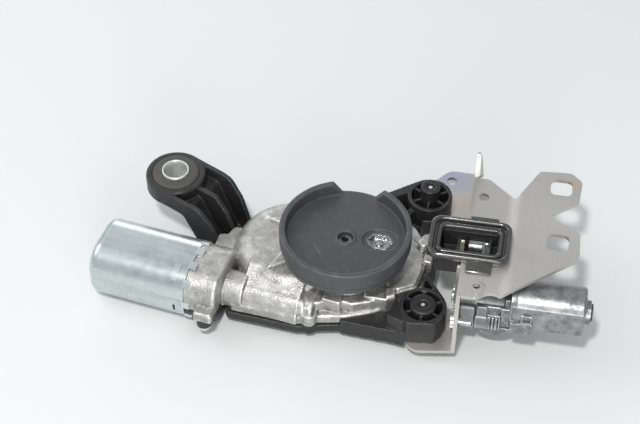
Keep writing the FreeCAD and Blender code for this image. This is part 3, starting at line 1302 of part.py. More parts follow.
def act_cover():
    # lid of the wheel chamber, with the moulded blocks and steps of its front face
    y1 = act_cover_y
    skin = cyl_y(y1 - 1.2, y1, act_wheel_x, act_wheel_z, act_wheel_pitch_r + 2.6)
    blocks = [cover_block(-9.2, 10.6, 1.2, 0, 12.5), cover_block(-9.2, -3.4, 2.9, -3, 5.4)]
    blocks += [cover_block(-8.6, -3.8, 2.2, 5.4, 12.5), cover_block(-2.8, 3.4, 2.7, -3.4, 5.8)]
    blocks += [cover_block(3.8, 10.6, 1.8, 6.2, 12.5), cover_block(8.7, 10.4, 2.4, -1.6, 6.4)]
    for i in range(3):
        blocks.append(cover_block(4.2 + 1.5 * i, 5.7 + 1.5 * i, 1.8, 2.6 - 1.7 * i, 6.4))
    lid = fuse([skin] + blocks)
    low = act_wheel_z - 5
    gaps = [box(act_wheel_x - 3.1, act_wheel_x + 3.6, y1 - 5, y1 + 1, act_wheel_z + 6.2, act_z + 1.8)]
    for i in range(3):
        x = act_wheel_x - 1.5 + 1.8 * i
        gaps.append(box(x, x + 0.7, y1 - 5, y1 - 1.6, low, low + 13))
    gaps.append(box(act_wheel_x + 4.0, act_wheel_x + 8.4, y1 - 5, y1 + 1, low + 1.8, low + 4))
    gaps.append(act_flange())
    return lid.cut(fuse(gaps))


def act_screw():
    y, z = act_pin_at
    shank = cyl_x(web_x, web_x + sheet + 6.5, y, z, rivet_r - 0.02)
    return shank.fuse(cyl_x(web_x - 2.2, web_x, y, z, 4.4))


def act_end_cap():
    return cyl_x(act_can_x1 + 2.6, act_can_x1 + 3.6, act_y, act_z, 4.6)


save("motor_yoke", motor_place(motor_yoke()))
save("field_magnets", motor_place(field_magnets()))
save("armature_core", motor_place(armature_core()))
save("windings", motor_place(windings()))
save("commutator", motor_place(commutator()))
save("armature_shaft", motor_place(armature_shaft()))
save("rear_bearing", motor_place(rear_bearing()))
save("front_bearing", motor_place(front_bearing()))
save("thrust_cap", motor_place(thrust_cap()))
save("brush_holder", motor_place(brush_holder()))
save("carbon_brushes", motor_place(carbon_brushes()))
save("worm_wheel", worm_wheel())
save("wheel_axle", wheel_axle())
save("output_gear", output_gear())
save("output_shaft", output_shaft())
save("output_bush", output_bush())
save("thrust_washer", thrust_washer())
save("driver_disc", driver_disc())
save("disc_bolt", disc_bolt())
save("socket_insert", socket_insert())
save("gear_housing", gear_housing())
save("cover_seal", cover_seal())
save("mount_cover", mount_cover())
save("grommet", grommet())
save("grommet_sleeve", grommet_sleeve())
save("control_board", control_board())
save("connector_shroud", connector_shroud())
save("connector_pins", connector_pins())
save("cover_screws", cover_screw_group())
save("boss_screws", boss_screws())
save("latch_bracket", latch_bracket())
save("latch_frame", latch_frame())
save("latch_case", latch_case())
save("latch_plate_left", latch_side_plate(latch_left_x, latch_side(-11.4, -11.0)))
save("latch_plate_right", latch_side_plate(latch_right_x, latch_side(-9.4, -9.2)))
save("latch_claw", latch_claw())
save("claw_pin", latch_pin(claw_y, claw_z, claw_pin_r, 3.6))
save("claw_spring", claw_spring())
save("pawl", pawl())
save("pawl_pin", latch_pin(pawl_y, pawl_z, pawl_pin_r, 3.0))
save("latch_rivets", rivets())
save("actuator_can", act_can())
save("actuator_end_cap", act_end_cap())
save("actuator_magnets", act_magnets())
save("actuator_armature", act_armature())
save("actuator_wheel", act_wheel())
save("actuator_housing", act_housing())
save("actuator_cover", act_cover())
save("actuator_screw", act_screw())
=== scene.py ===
import bmesh
import bpy
import json
import math
import numpy as np
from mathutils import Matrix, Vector


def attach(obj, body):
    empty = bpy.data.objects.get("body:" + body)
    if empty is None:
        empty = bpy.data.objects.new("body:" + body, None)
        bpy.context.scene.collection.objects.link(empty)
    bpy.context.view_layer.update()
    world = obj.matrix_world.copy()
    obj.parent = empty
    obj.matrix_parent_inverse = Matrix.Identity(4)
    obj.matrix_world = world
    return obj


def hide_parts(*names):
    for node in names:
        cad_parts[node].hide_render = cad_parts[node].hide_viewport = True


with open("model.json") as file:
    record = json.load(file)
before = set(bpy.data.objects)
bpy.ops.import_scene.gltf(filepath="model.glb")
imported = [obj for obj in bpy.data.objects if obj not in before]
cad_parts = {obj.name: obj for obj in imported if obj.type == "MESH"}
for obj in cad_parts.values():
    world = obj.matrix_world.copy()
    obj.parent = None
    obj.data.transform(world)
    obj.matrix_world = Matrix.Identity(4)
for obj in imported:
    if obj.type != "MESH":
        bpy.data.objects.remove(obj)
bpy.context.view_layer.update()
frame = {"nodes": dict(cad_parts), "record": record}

nodes = frame["nodes"]
bodyOf = {name: body for body, members in frame["record"]["behaviour"]["bodies"].items() for name in members}
slotOf = {entry["node"]: entry["material_slot"] for entry in frame["record"]["subparts"]}
mm = 0.001
print("stage: frame loaded,", len(nodes), "nodes")


# camera, floor and light

camera = {"place": (0.08507, -0.5588, 0.64667), "target": (-0.0229, 0.0535, -0.004),
          "lens": 90.0, "sensor": 36.0}
studio = {"floorZ": -0.0035, "floorSize": 6.0, "backdrop": (0.655, 0.67, 0.665), "backdropRough": 0.55,
          "backdropSpecular": 0.3, "worldColour": (0.93, 0.96, 1.0), "worldStrength": 0.54}
lamps = {"keyLamp": {"place": (-0.11, -0.71, 1.43), "size": 0.16, "power": 15.0, "colour": (1.0, 0.99, 0.97)},
         "fillLamp": {"place": (-1.1, 0.3, 0.9), "size": 1.2, "power": 6.0, "colour": (0.95, 0.98, 1.0)},
         "frontLamp": {"place": (0.35, -1.5, 0.38), "size": 0.8, "power": 12.0, "colour": (1.0, 1.0, 0.99)},
         "backLamp": {"place": (-0.5, 1.5, 0.7), "size": 0.9, "power": 4.0, "colour": (1.0, 1.0, 1.0)}}


def placed(name, data):
    # a new object at the origin, in the scene
    thing = bpy.data.objects.new(name, data)
    bpy.context.scene.collection.objects.link(thing)
    return thing


def aimed(thing, place, target):
    thing.location = Vector(place)
    look = Vector(target) - Vector(place)
    thing.rotation_euler = look.to_track_quat("-Z", "Y").to_euler()


def makeCamera():
    data = bpy.data.cameras.new("photoCamera")
    data.lens = camera["lens"]
    data.sensor_width = camera["sensor"]
    data.dof.use_dof = False
    thing = placed("photoCamera", data)
    aimed(thing, camera["place"], camera["target"])
    bpy.context.scene.camera = thing


def softLamp(name, lamp):
    data = bpy.data.lights.new(name, "AREA")
    data.shape = "DISK"
    data.size = lamp["size"]
    data.energy = lamp["power"]
    data.color = lamp["colour"]
    aimed(placed(name, data), lamp["place"], (0, 0, 0))


def makeStudio():
    # a pale sheet under the part, a pale room and four round lamps
    half, z = studio["floorSize"] / 2, studio["floorZ"]
    mesh = bpy.data.meshes.new("paleFloor")
    mesh.from_pydata([(-half, -half, z), (half, -half, z), (half, half, z), (-half, half, z)], [], [(0, 1, 2, 3)])
    floor = placed("paleFloor", mesh)
    material = bpy.data.materials.new("palePaper")
    material.use_nodes = True
    shader = material.node_tree.nodes["Principled BSDF"]
    shader.inputs["Base Color"].default_value = (*studio["backdrop"], 1)
    shader.inputs["Roughness"].default_value = studio["backdropRough"]
    shader.inputs["Specular IOR Level"].default_value = studio["backdropSpecular"]
    floor.data.materials.append(material)
    world = bpy.data.worlds.new("paleRoom")
    bpy.context.scene.world = world
    world.use_nodes = True
    back = world.node_tree.nodes["Background"]
    back.inputs["Color"].default_value = (*studio["worldColour"], 1)
    back.inputs["Strength"].default_value = studio["worldStrength"]
    for name, lamp in lamps.items():
        softLamp(name, lamp)


makeCamera()
makeStudio()
bpy.context.scene.view_settings.view_transform = "Standard"
print("stage: camera and studio ready")


# shader groups shared by the finishes

def newGroup(name, inputs, outputs):
    group = bpy.data.node_groups.new(name, "ShaderNodeTree")
    for label, kind, value in inputs:
        socket = group.interface.new_socket(label, in_out="INPUT", socket_type=kind)
        if value is not None:
            socket.default_value = value
    for label, kind in outputs:
        group.interface.new_socket(label, in_out="OUTPUT", socket_type=kind)
    start = group.nodes.new("NodeGroupInput")
    end = group.nodes.new("NodeGroupOutput")
    return group, start, end


def put(tree, kind, **settings):
    node = tree.nodes.new(kind)
    for key, value in settings.items():
        if key in node.inputs:
            node.inputs[key].default_value = value
        else:
            setattr(node, key, value)
    return node


def noiseAt(tree, place, scale, detail=4.0, rough=0.55):
    noise = put(tree, "ShaderNodeTexNoise", Detail=detail, Roughness=rough)
    tree.links.new(place, noise.inputs["Vector"])
    if isinstance(scale, bpy.types.NodeSocket):
        tree.links.new(scale, noise.inputs["Scale"])
    else:
        noise.inputs["Scale"].default_value = scale
    return noise.outputs["Fac"]


def remap(tree, value, low, high, toLow=0.0, toHigh=1.0):
    node = put(tree, "ShaderNodeMapRange")
    tree.links.new(value, node.inputs["Value"])
    node.inputs["From Min"].default_value = low
    node.inputs["From Max"].default_value = high
    node.inputs["To Min"].default_value = toLow
    node.inputs["To Max"].default_value = toHigh
    return node.outputs["Result"]


def maths(tree, operation, first, second):
    node = put(tree, "ShaderNodeMath", operation=operation)
    for socket, value in zip(node.inputs, (first, second)):
        if isinstance(value, bpy.types.NodeSocket):
            tree.links.new(value, socket)
        else:
            socket.default_value = value
    return node.outputs["Value"]


def makeGrain():
    # fine bump of a moulded or cast skin, with slow unevenness under it
    group, start, end = newGroup("skinGrain",
                                 [("Size", "NodeSocketFloat", 900.0), ("Depth", "NodeSocketFloat", 0.1),
                                  ("Waviness", "NodeSocketFloat", 0.1)],
                                 [("Normal", "NodeSocketVector"), ("Fine", "NodeSocketFloat"),
                                  ("Slow", "NodeSocketFloat")])
    place = put(group, "ShaderNodeTexCoord").outputs["Object"]
    fine = noiseAt(group, place, start.outputs["Size"], 3.0, 0.6)
    slow = noiseAt(group, place, 55.0, 2.0, 0.5)
    low = put(group, "ShaderNodeBump", Distance=0.004)
    group.links.new(slow, low.inputs["Height"])
    group.links.new(start.outputs["Waviness"], low.inputs["Strength"])
    top = put(group, "ShaderNodeBump", Distance=0.0006)
    group.links.new(fine, top.inputs["Height"])
    group.links.new(start.outputs["Depth"], top.inputs["Strength"])
    group.links.new(low.outputs["Normal"], top.inputs["Normal"])
    group.links.new(top.outputs["Normal"], end.inputs["Normal"])
    group.links.new(fine, end.inputs["Fine"])
    group.links.new(slow, end.inputs["Slow"])
    return group


def makeStreaks():
    # fine lines along one direction, as left by rolling, drawing or wiping
    group, start, end = newGroup("streaks",
                                 [("Across", "NodeSocketVector", (1500.0, 30.0, 1500.0)),
                                  ("Turn", "NodeSocketFloat", 0.0)],
                                 [("Line", "NodeSocketFloat"), ("Scratch", "NodeSocketFloat")])
    place = put(group, "ShaderNodeTexCoord").outputs["Object"]
    turned = put(group, "ShaderNodeVectorRotate", rotation_type="Z_AXIS")
    group.links.new(place, turned.inputs["Vector"])
    group.links.new(start.outputs["Turn"], turned.inputs["Angle"])
    scaled = put(group, "ShaderNodeVectorMath", operation="MULTIPLY")
    group.links.new(turned.outputs["Vector"], scaled.inputs[0])
    group.links.new(start.outputs["Across"], scaled.inputs[1])
    line = noiseAt(group, scaled.outputs["Vector"], 1.0, 3.0, 0.6)
    wide = put(group, "ShaderNodeTexVoronoi", feature="DISTANCE_TO_EDGE")
    wide.inputs["Scale"].default_value = 0.11
    group.links.new(scaled.outputs["Vector"], wide.inputs["Vector"])
    thin = remap(group, wide.outputs["Distance"], 0.0, 0.02, 1.0, 0.0)
    gate = remap(group, noiseAt(group, place, 90.0, 2.0), 0.55, 0.7)
    group.links.new(line, end.inputs["Line"])
    group.links.new(maths(group, "MULTIPLY", thin, gate), end.inputs["Scratch"])
    return group


def makeBlotch():
    # cloudy patches in three sizes, for stains, zinc bloom and casting flow marks; the bright specks are also
    # painted glints
    group, start, end = newGroup("blotches", [("Scale", "NodeSocketFloat", 60.0)],
                                 [("Cloud", "NodeSocketFloat"), ("SpeckAndGlint", "NodeSocketFloat"),
                                  ("Pit", "NodeSocketFloat")])
    place = put(group, "ShaderNodeTexCoord").outputs["Object"]
    cloud = remap(group, noiseAt(group, place, start.outputs["Scale"], 5.0, 0.62), 0.32, 0.68)
    speckAndGlint = remap(group, noiseAt(group, place, 1300.0, 2.0, 0.5), 0.56, 0.72)
    cells = put(group, "ShaderNodeTexVoronoi", feature="F1")
    cells.inputs["Scale"].default_value = 130.0
    group.links.new(place, cells.inputs["Vector"])
    pit = remap(group, cells.outputs["Distance"], 0.035, 0.075, 1.0, 0.0)
    gate = remap(group, noiseAt(group, place, 40.0, 1.0), 0.58, 0.62)
    group.links.new(cloud, end.inputs["Cloud"])
    group.links.new(speckAndGlint, end.inputs["SpeckAndGlint"])
    group.links.new(maths(group, "MULTIPLY", pit, gate), end.inputs["Pit"])
    return group


def makeWear():
    # mask of rubbed edges with painted edge highlights, and of hollows that take painted shade, from how sharply
    # the surface bends
    group, start, end = newGroup("edgeWearHighlightHollowShade", [("Soft", "NodeSocketFloat", 0.06)],
                                 [("EdgeWearHighlight", "NodeSocketFloat"), ("HollowShade", "NodeSocketFloat")])
    bend = put(group, "ShaderNodeNewGeometry").outputs["Pointiness"]
    place = put(group, "ShaderNodeTexCoord").outputs["Object"]
    wobble = remap(group, noiseAt(group, place, 260.0, 3.0), 0.3, 0.7, -0.02, 0.02)
    moved = maths(group, "ADD", bend, wobble)
    high = maths(group, "ADD", 0.5, start.outputs["Soft"])
    low = maths(group, "SUBTRACT", 0.5, start.outputs["Soft"])
    # edges: rubbed wear and painted edge highlights
    edge = put(group, "ShaderNodeMapRange")
    group.links.new(moved, edge.inputs["Value"])
    edge.inputs["From Min"].default_value = 0.505
    group.links.new(high, edge.inputs["From Max"])
    # hollows: painted shade in creases and recesses
    hollow = put(group, "ShaderNodeMapRange")
    group.links.new(moved, hollow.inputs["Value"])
    hollow.inputs["From Min"].default_value = 0.495
    group.links.new(low, hollow.inputs["From Max"])
    group.links.new(edge.outputs["Result"], end.inputs["EdgeWearHighlight"])
    group.links.new(hollow.outputs["Result"], end.inputs["HollowShade"])
    return group


def makeMark():
    # mask that is 1 at a centre and falls to 0 at an oval's rim, turned about the vertical
    group, start, end = newGroup("mark",
                                 [("Centre", "NodeSocketVector", (0, 0, 0)), ("Turn", "NodeSocketFloat", 0.0),
                                  ("Reach", "NodeSocketVector", (0.01, 0.01, 0.01)),
                                  ("Ragged", "NodeSocketFloat", 0.4)],
                                 [("Mask", "NodeSocketFloat")])
    place = put(group, "ShaderNodeTexCoord").outputs["Object"]
    away = put(group, "ShaderNodeVectorMath", operation="SUBTRACT")
    group.links.new(place, away.inputs[0])
    group.links.new(start.outputs["Centre"], away.inputs[1])
    turned = put(group, "ShaderNodeVectorRotate", rotation_type="Z_AXIS")
    group.links.new(away.outputs["Vector"], turned.inputs["Vector"])
    group.links.new(start.outputs["Turn"], turned.inputs["Angle"])
    share = put(group, "ShaderNodeVectorMath", operation="DIVIDE")
    group.links.new(turned.outputs["Vector"], share.inputs[0])
    group.links.new(start.outputs["Reach"], share.inputs[1])
    far = put(group, "ShaderNodeVectorMath", operation="LENGTH")
    group.links.new(share.outputs["Vector"], far.inputs[0])
    wobble = maths(group, "MULTIPLY", noiseAt(group, place, 160.0, 3.0), start.outputs["Ragged"])
    rim = maths(group, "ADD", far.outputs["Value"], wobble)
    group.links.new(remap(group, rim, 0.45, 1.1, 1.0, 0.0), end.inputs["Mask"])
    return group


groups = {"mark": makeMark(), "grain": makeGrain(), "streaks": makeStreaks(), "blotch": makeBlotch(),
          "wearAndShade": makeWear()}
print("stage: shader groups ready")


# finishes

def mixColour(tree, mask, first, second):
    node = put(tree, "ShaderNodeMix", data_type="RGBA")
    tree.links.new(mask, node.inputs[0])
    for socket, colour in ((node.inputs[6], first), (node.inputs[7], second)):
        if isinstance(colour, bpy.types.NodeSocket):
            tree.links.new(colour, socket)
        else:
            socket.default_value = (*colour, 1)
    return node.outputs[2]


def grouped(tree, key, **values):
    node = put(tree, "ShaderNodeGroup")
    node.node_tree = groups[key]
    for label, value in values.items():
        node.inputs[label].default_value = value
    return node


# tints of layers for which a look names none; the others then take its cloud colour
usualTint = {"hollowShadeTint": (0.02, 0.02, 0.02), "scratchTint": (0.6, 0.6, 0.6), "pitTint": (0.02, 0.02, 0.02)}
surface = {"lineFrom": 0.35, "lineTo": 0.65, "edgeSmoother": 0.12, "lineRougher": 0.08, "lineHeight": 0.0003}


def makeFinish(name, look):
    # base and cloud colours, then lines, specks with painted glints, painted shade in hollows, rubbed edges with
    # painted highlights, scratches, pits and marks, one over the other
    material = bpy.data.materials.new(name)
    material.use_nodes = True
    tree = material.node_tree
    shader = tree.nodes["Principled BSDF"]
    shader.inputs["Metallic"].default_value = look.get("metal", 0.0)
    shader.inputs["Specular IOR Level"].default_value = look.get("specular", 0.5)
    shader.inputs["Coat Weight"].default_value = look.get("coat", 0.0)
    shader.inputs["Coat Roughness"].default_value = look.get("coatRough", 0.15)
    blotch = grouped(tree, "blotch", Scale=look.get("cloudScale", 60.0))
    grain = grouped(tree, "grain", Size=look.get("grainSize", 900.0), Depth=look.get("grain", 0.1),
                    Waviness=look.get("wavy", 0.05))
    streaks = grouped(tree, "streaks", Across=look.get("across", (1500.0, 30.0, 1500.0)),
                      Turn=look.get("turn", 0.0))
    wearAndShade = grouped(tree, "wearAndShade", Soft=look.get("wearSoft", 0.06))
    colour = mixColour(tree, blotch.outputs["Cloud"], look["base"], look["cloud"])
    lines = remap(tree, streaks.outputs["Line"], surface["lineFrom"], surface["lineTo"])
    # hollow is painted shade, edge is wear with painted highlight, specks are partly painted glints
    layers = [(lines, "lines", "lineTint"), (blotch.outputs["SpeckAndGlint"], "specksAndGlints", "speckTint"),
              (wearAndShade.outputs["HollowShade"], "hollow", "hollowShadeTint"), (wearAndShade.outputs["EdgeWearHighlight"], "edge", "edgeTint"),
              (streaks.outputs["Scratch"], "scratch", "scratchTint"), (blotch.outputs["Pit"], "pits", "pitTint")]
    masks = {}
    for source, strength, tint in layers:
        masks[strength] = maths(tree, "MULTIPLY", source, look.get(strength, 0.0))
        tintColour = look.get(tint, usualTint.get(tint, look["cloud"]))
        colour = mixColour(tree, masks[strength], colour, tintColour)
    for centre, turn, reach, tint, strength, ragged in look.get("marks", []):
        mark = grouped(tree, "mark", Centre=[mm * c for c in centre], Turn=turn, Reach=[mm * c for c in reach],
                       Ragged=ragged)
        colour = mixColour(tree, maths(tree, "MULTIPLY", mark.outputs["Mask"], strength), colour, tint)
    tree.links.new(colour, shader.inputs["Base Color"])
    rough = remap(tree, blotch.outputs["Cloud"], 0.0, 1.0, *look["rough"])
    rough = maths(tree, "SUBTRACT", rough, maths(tree, "MULTIPLY", masks["edge"], surface["edgeSmoother"]))
    rough = maths(tree, "ADD", rough, maths(tree, "MULTIPLY", masks["lines"], surface["lineRougher"]))
    tree.links.new(rough, shader.inputs["Roughness"])
    lift = put(tree, "ShaderNodeBump", Distance=surface["lineHeight"], Strength=look.get("lineDepth", 0.0))
    tree.links.new(streaks.outputs["Line"], lift.inputs["Height"])
    tree.links.new(grain.outputs["Normal"], lift.inputs["Normal"])
    tree.links.new(lift.outputs["Normal"], shader.inputs["Normal"])
    return material


# colours are linear, rough is the range of roughness
# a mark is (centre in mm, turn, reach in mm, tint, strength, raggedness)
# in each look, hollow paints shade into creases, edge lightens edges as wear and painted highlight, and specks
# include painted glints
looks = {
    "zinc_steel": {"base": (0.50, 0.56, 0.565), "cloud": (0.60, 0.65, 0.65), "metal": 0.85,
                   "rough": (0.27, 0.35), "cloudScale": 26.0, "grain": 0.05, "grainSize": 1400.0, "wavy": 0.02,
                   "across": (22.0, 900.0, 900.0), "turn": 0.157, "lines": 0.4, "lineTint": (0.40, 0.46, 0.465),
                   "edge": 0.4, "edgeTint": (0.8, 0.83, 0.83), "hollow": 0.5, "hollowShadeTint": (0.15, 0.17, 0.17),
                   "lineDepth": 0.03},
    # cast aluminium: dark hollows are painted shade in the valleys, specks painted glints, bright edges wear and
    # painted highlight
    "cast_aluminium": {"base": (0.315, 0.308, 0.295), "cloud": (0.47, 0.465, 0.445), "metal": 0.72,
                       "rough": (0.34, 0.50), "cloudScale": 85.0, "grain": 0.5, "grainSize": 1000.0,
                       "wavy": 0.28, "specksAndGlints": 0.5, "speckTint": (0.70, 0.69, 0.67), "edge": 0.85,
                       "edgeTint": (0.86, 0.855, 0.84), "hollow": 0.85, "hollowShadeTint": (0.09, 0.087, 0.083),
                       "pits": 0.9, "wearSoft": 0.05},
    "black_plastic": {"base": (0.016, 0.0155, 0.016), "cloud": (0.024, 0.0235, 0.0245), "rough": (0.33, 0.45),
                      "specular": 0.38, "cloudScale": 35.0, "grain": 0.10, "grainSize": 1500.0, "wavy": 0.06,
                      "edge": 0.4, "edgeTint": (0.075, 0.072, 0.075), "specksAndGlints": 0.1,
                      "speckTint": (0.04, 0.04, 0.04)},
    "disc_plastic": {"base": (0.050, 0.050, 0.053), "cloud": (0.060, 0.060, 0.064), "rough": (0.44, 0.52),
                     "specular": 0.42, "cloudScale": 22.0, "grain": 0.12, "grainSize": 1700.0, "wavy": 0.02,
                     "scratch": 0.3, "across": (160.0, 25.0, 160.0), "turn": 0.9,
                     "scratchTint": (0.14, 0.14, 0.15), "edge": 0.55, "edgeTint": (0.13, 0.13, 0.135),
                     "hollow": 0.3, "hollowShadeTint": (0.015, 0.015, 0.015),
                     "marks": [((-13.0, -10.5, 36.0), 0.95, (8.0, 0.5, 3.0), (0.13, 0.13, 0.135), 0.55, 0.1)]},
    "rubber": {"base": (0.052, 0.050, 0.045), "cloud": (0.068, 0.065, 0.059), "rough": (0.55, 0.68),
               "specular": 0.4, "cloudScale": 90.0, "grain": 0.25, "grainSize": 1300.0, "wavy": 0.06,
               "edge": 0.3, "edgeTint": (0.11, 0.105, 0.095), "specksAndGlints": 0.2, "speckTint": (0.1, 0.095, 0.088)},
    "sleeve_steel": {"base": (0.50, 0.52, 0.485), "cloud": (0.56, 0.575, 0.54), "metal": 0.55,
                     "rough": (0.38, 0.48), "cloudScale": 90.0, "grain": 0.06, "wavy": 0.0,
                     "across": (900.0, 900.0, 40.0), "lines": 0.25, "lineTint": (0.42, 0.435, 0.41),
                     "edge": 0.6, "edgeTint": (0.85, 0.86, 0.82)},
    "bracket_steel": {"base": (0.50, 0.485, 0.46), "cloud": (0.55, 0.535, 0.51), "metal": 0.75,
                      "rough": (0.34, 0.42), "cloudScale": 20.0, "grain": 0.12, "grainSize": 1600.0, "wavy": 0.015,
                      "across": (900.0, 35.0, 900.0), "lines": 0.22, "lineTint": (0.45, 0.44, 0.425),
                      "edge": 0.0, "specksAndGlints": 0.1, "speckTint": (0.56, 0.55, 0.53), "lineDepth": 0.02,
                      "marks": [((45.0, 84.0, 4.5), 0.0, (22.0, 14.0, 8.0), (0.40, 0.42, 0.56), 0.75, 0.3),
                                # the next mark is painted shade along the fold between the web and the plate
                                ((61.0, 36.0, 42.0), 0.06, (4.2, 24.0, 3.0), (0.33, 0.315, 0.295), 0.6, 0.1),
                                ((55.0, 66.0, 4.5), 0.0, (9.0, 9.0, 8.0), (0.56, 0.45, 0.38), 0.7, 0.5),
                                ((114.8, 52.5, 42.0), 0.3, (9.0, 7.0, 6.0), (0.56, 0.44, 0.33), 0.6, 0.5),
                                ((94.0, -3.0, 42.0), 0.5, (16.0, 7.0, 6.0), (0.50, 0.42, 0.36), 0.45, 0.6)]},
    "gloss_black": {"base": (0.020, 0.0195, 0.019), "cloud": (0.030, 0.029, 0.028), "rough": (0.22, 0.30),
                    "cloudScale": 80.0, "grain": 0.05, "grainSize": 1200.0, "wavy": 0.05, "coat": 0.8,
                    "coatRough": 0.1, "edge": 0.4, "edgeTint": (0.12, 0.12, 0.115)},
    "dark_can": {"base": (0.15, 0.152, 0.157), "cloud": (0.29, 0.292, 0.298), "metal": 0.85,
                 "rough": (0.26, 0.42), "cloudScale": 130.0, "grain": 0.2, "grainSize": 900.0, "wavy": 0.16,
                 "specksAndGlints": 0.4, "speckTint": (0.5, 0.5, 0.5), "edge": 0.5, "edgeTint": (0.55, 0.55, 0.55)},
    # actuator housing: the dark gaps come from painted shade in its hollows
    "grey_housing": {"base": (0.12, 0.122, 0.126), "cloud": (0.24, 0.243, 0.248), "metal": 0.5,
                     "rough": (0.28, 0.45), "cloudScale": 160.0, "grain": 0.2, "grainSize": 800.0, "wavy": 0.15,
                     "edge": 0.9, "edgeTint": (0.6, 0.61, 0.62), "hollow": 0.8, "hollowShadeTint": (0.03, 0.03, 0.03),
                     "specksAndGlints": 0.3, "speckTint": (0.42, 0.42, 0.42)},
    "white_plastic": {"base": (0.62, 0.61, 0.58), "cloud": (0.70, 0.69, 0.66), "rough": (0.38, 0.5), "grain": 0.1},
    "board": {"base": (0.015, 0.09, 0.04), "cloud": (0.02, 0.13, 0.06), "rough": (0.3, 0.4), "cloudScale": 300.0,
              "grain": 0.1, "specksAndGlints": 0.3, "speckTint": (0.5, 0.4, 0.15)},
    "ferrite": {"base": (0.03, 0.03, 0.032), "cloud": (0.06, 0.06, 0.062), "rough": (0.5, 0.65), "grain": 0.4},
    "core_steel": {"base": (0.30, 0.30, 0.31), "cloud": (0.42, 0.42, 0.43), "metal": 0.9, "rough": (0.3, 0.4),
                   "across": (2200.0, 20.0, 20.0), "lines": 0.6, "lineTint": (0.12, 0.12, 0.12),
                   "lineDepth": 0.2},
    "copper_wire": {"base": (0.55, 0.20, 0.08), "cloud": (0.70, 0.30, 0.13), "metal": 0.9, "rough": (0.22, 0.35),
                    "across": (1400.0, 90.0, 90.0), "lines": 0.6, "lineTint": (0.16, 0.05, 0.02),
                    "lineDepth": 0.4},
    "copper": {"base": (0.62, 0.28, 0.14), "cloud": (0.74, 0.38, 0.2), "metal": 0.95, "rough": (0.2, 0.32),
               "across": (1600.0, 40.0, 40.0), "lines": 0.3, "lineTint": (0.3, 0.12, 0.06)},
    "ground_steel": {"base": (0.52, 0.53, 0.54), "cloud": (0.62, 0.63, 0.64), "metal": 0.95, "rough": (0.16, 0.26),
                     "across": (2000.0, 30.0, 30.0), "lines": 0.3, "lineTint": (0.36, 0.37, 0.38)},
    "sintered_bronze": {"base": (0.36, 0.25, 0.13), "cloud": (0.46, 0.33, 0.18), "metal": 0.85,
                        "rough": (0.4, 0.55), "grain": 0.5, "specksAndGlints": 0.5, "speckTint": (0.18, 0.12, 0.06)},
    "carbon": {"base": (0.03, 0.03, 0.03), "cloud": (0.07, 0.07, 0.07), "metal": 0.2, "rough": (0.4, 0.5),
               "grain": 0.4, "specksAndGlints": 0.4, "speckTint": (0.2, 0.2, 0.2)},
    "dark_bolt": {"base": (0.012, 0.012, 0.013), "cloud": (0.03, 0.03, 0.032), "metal": 0.7, "rough": (0.3, 0.42),
                  "grain": 0.15, "edge": 0.6, "edgeTint": (0.3, 0.3, 0.31)},
    "tinned_brass": {"base": (0.66, 0.62, 0.5), "cloud": (0.76, 0.73, 0.62), "metal": 0.95, "rough": (0.2, 0.3),
                     "across": (60.0, 1500.0, 60.0), "lines": 0.3, "lineTint": (0.45, 0.4, 0.28)},
    "screw_steel": {"base": (0.42, 0.425, 0.43), "cloud": (0.64, 0.645, 0.65), "metal": 0.95,
                    "rough": (0.2, 0.32), "grain": 0.1, "edge": 0.6, "edgeTint": (0.9, 0.9, 0.9),
                    "specksAndGlints": 0.2, "speckTint": (0.35, 0.35, 0.35)},
    "yellow_zinc": {"base": (0.72, 0.68, 0.44), "cloud": (0.78, 0.76, 0.58), "metal": 0.6, "rough": (0.3, 0.4),
                    "cloudScale": 200.0, "grain": 0.08, "specksAndGlints": 0.2, "speckTint": (0.45, 0.38, 0.4),
                    "marks": [((62.0, 0.0, 18.0), 0.0, (30.0, 60.0, 19.0), (0.30, 0.295, 0.28), 1.0, 0.1)]},
    "zinc_plate": {"base": (0.34, 0.35, 0.36), "cloud": (0.46, 0.47, 0.48), "metal": 0.9, "rough": (0.26, 0.38),
                   "cloudScale": 150.0, "grain": 0.1, "edge": 0.6, "edgeTint": (0.85, 0.85, 0.85)},
    "claw_steel": {"base": (0.035, 0.035, 0.036), "cloud": (0.07, 0.07, 0.07), "metal": 0.6, "rough": (0.3, 0.42),
                   "grain": 0.15, "edge": 0.6, "edgeTint": (0.6, 0.6, 0.6)},
    "spring_steel": {"base": (0.3, 0.3, 0.3), "cloud": (0.4, 0.4, 0.4), "metal": 0.95, "rough": (0.2, 0.3),
                     "grain": 0.05, "across": (1800.0, 60.0, 60.0), "lines": 0.3, "lineTint": (0.2, 0.2, 0.2)},
    # socket insert: dark metal with painted glints from its fine cloud and specks
    "insert_metal_painted_glints": {"base": (0.06, 0.06, 0.062), "cloud": (0.62, 0.62, 0.63), "metal": 0.9,
                     "rough": (0.16, 0.3), "cloudScale": 620.0, "grain": 0.3, "wavy": 0.5, "specksAndGlints": 0.8,
                     "speckTint": (0.85, 0.85, 0.85)},
    # boss screws: dark top as painted shade of the bore, a small painted glint at each centre, plain steel lower
    # down
    "cup_screw_painted_shade_glint": {"base": (0.02, 0.02, 0.021), "cloud": (0.035, 0.035, 0.036), "metal": 0.6,
                  "rough": (0.35, 0.45), "grain": 0.1,
                  "marks": [((44.6, -25.2, 20.0), 0.0, (1.25, 1.25, 10.0), (0.8, 0.8, 0.81), 1.0, 0.1),
                            ((38.2, 54.0, 24.0), 0.0, (1.25, 1.25, 14.0), (0.8, 0.8, 0.81), 1.0, 0.1),
                            ((44.6, -25.2, 2.0), 0.0, (9.0, 9.0, 6.0), (0.42, 0.425, 0.43), 1.0, 0.0),
                            ((38.2, 54.0, 2.0), 0.0, (9.0, 9.0, 6.0), (0.42, 0.425, 0.43), 1.0, 0.0)]},
}
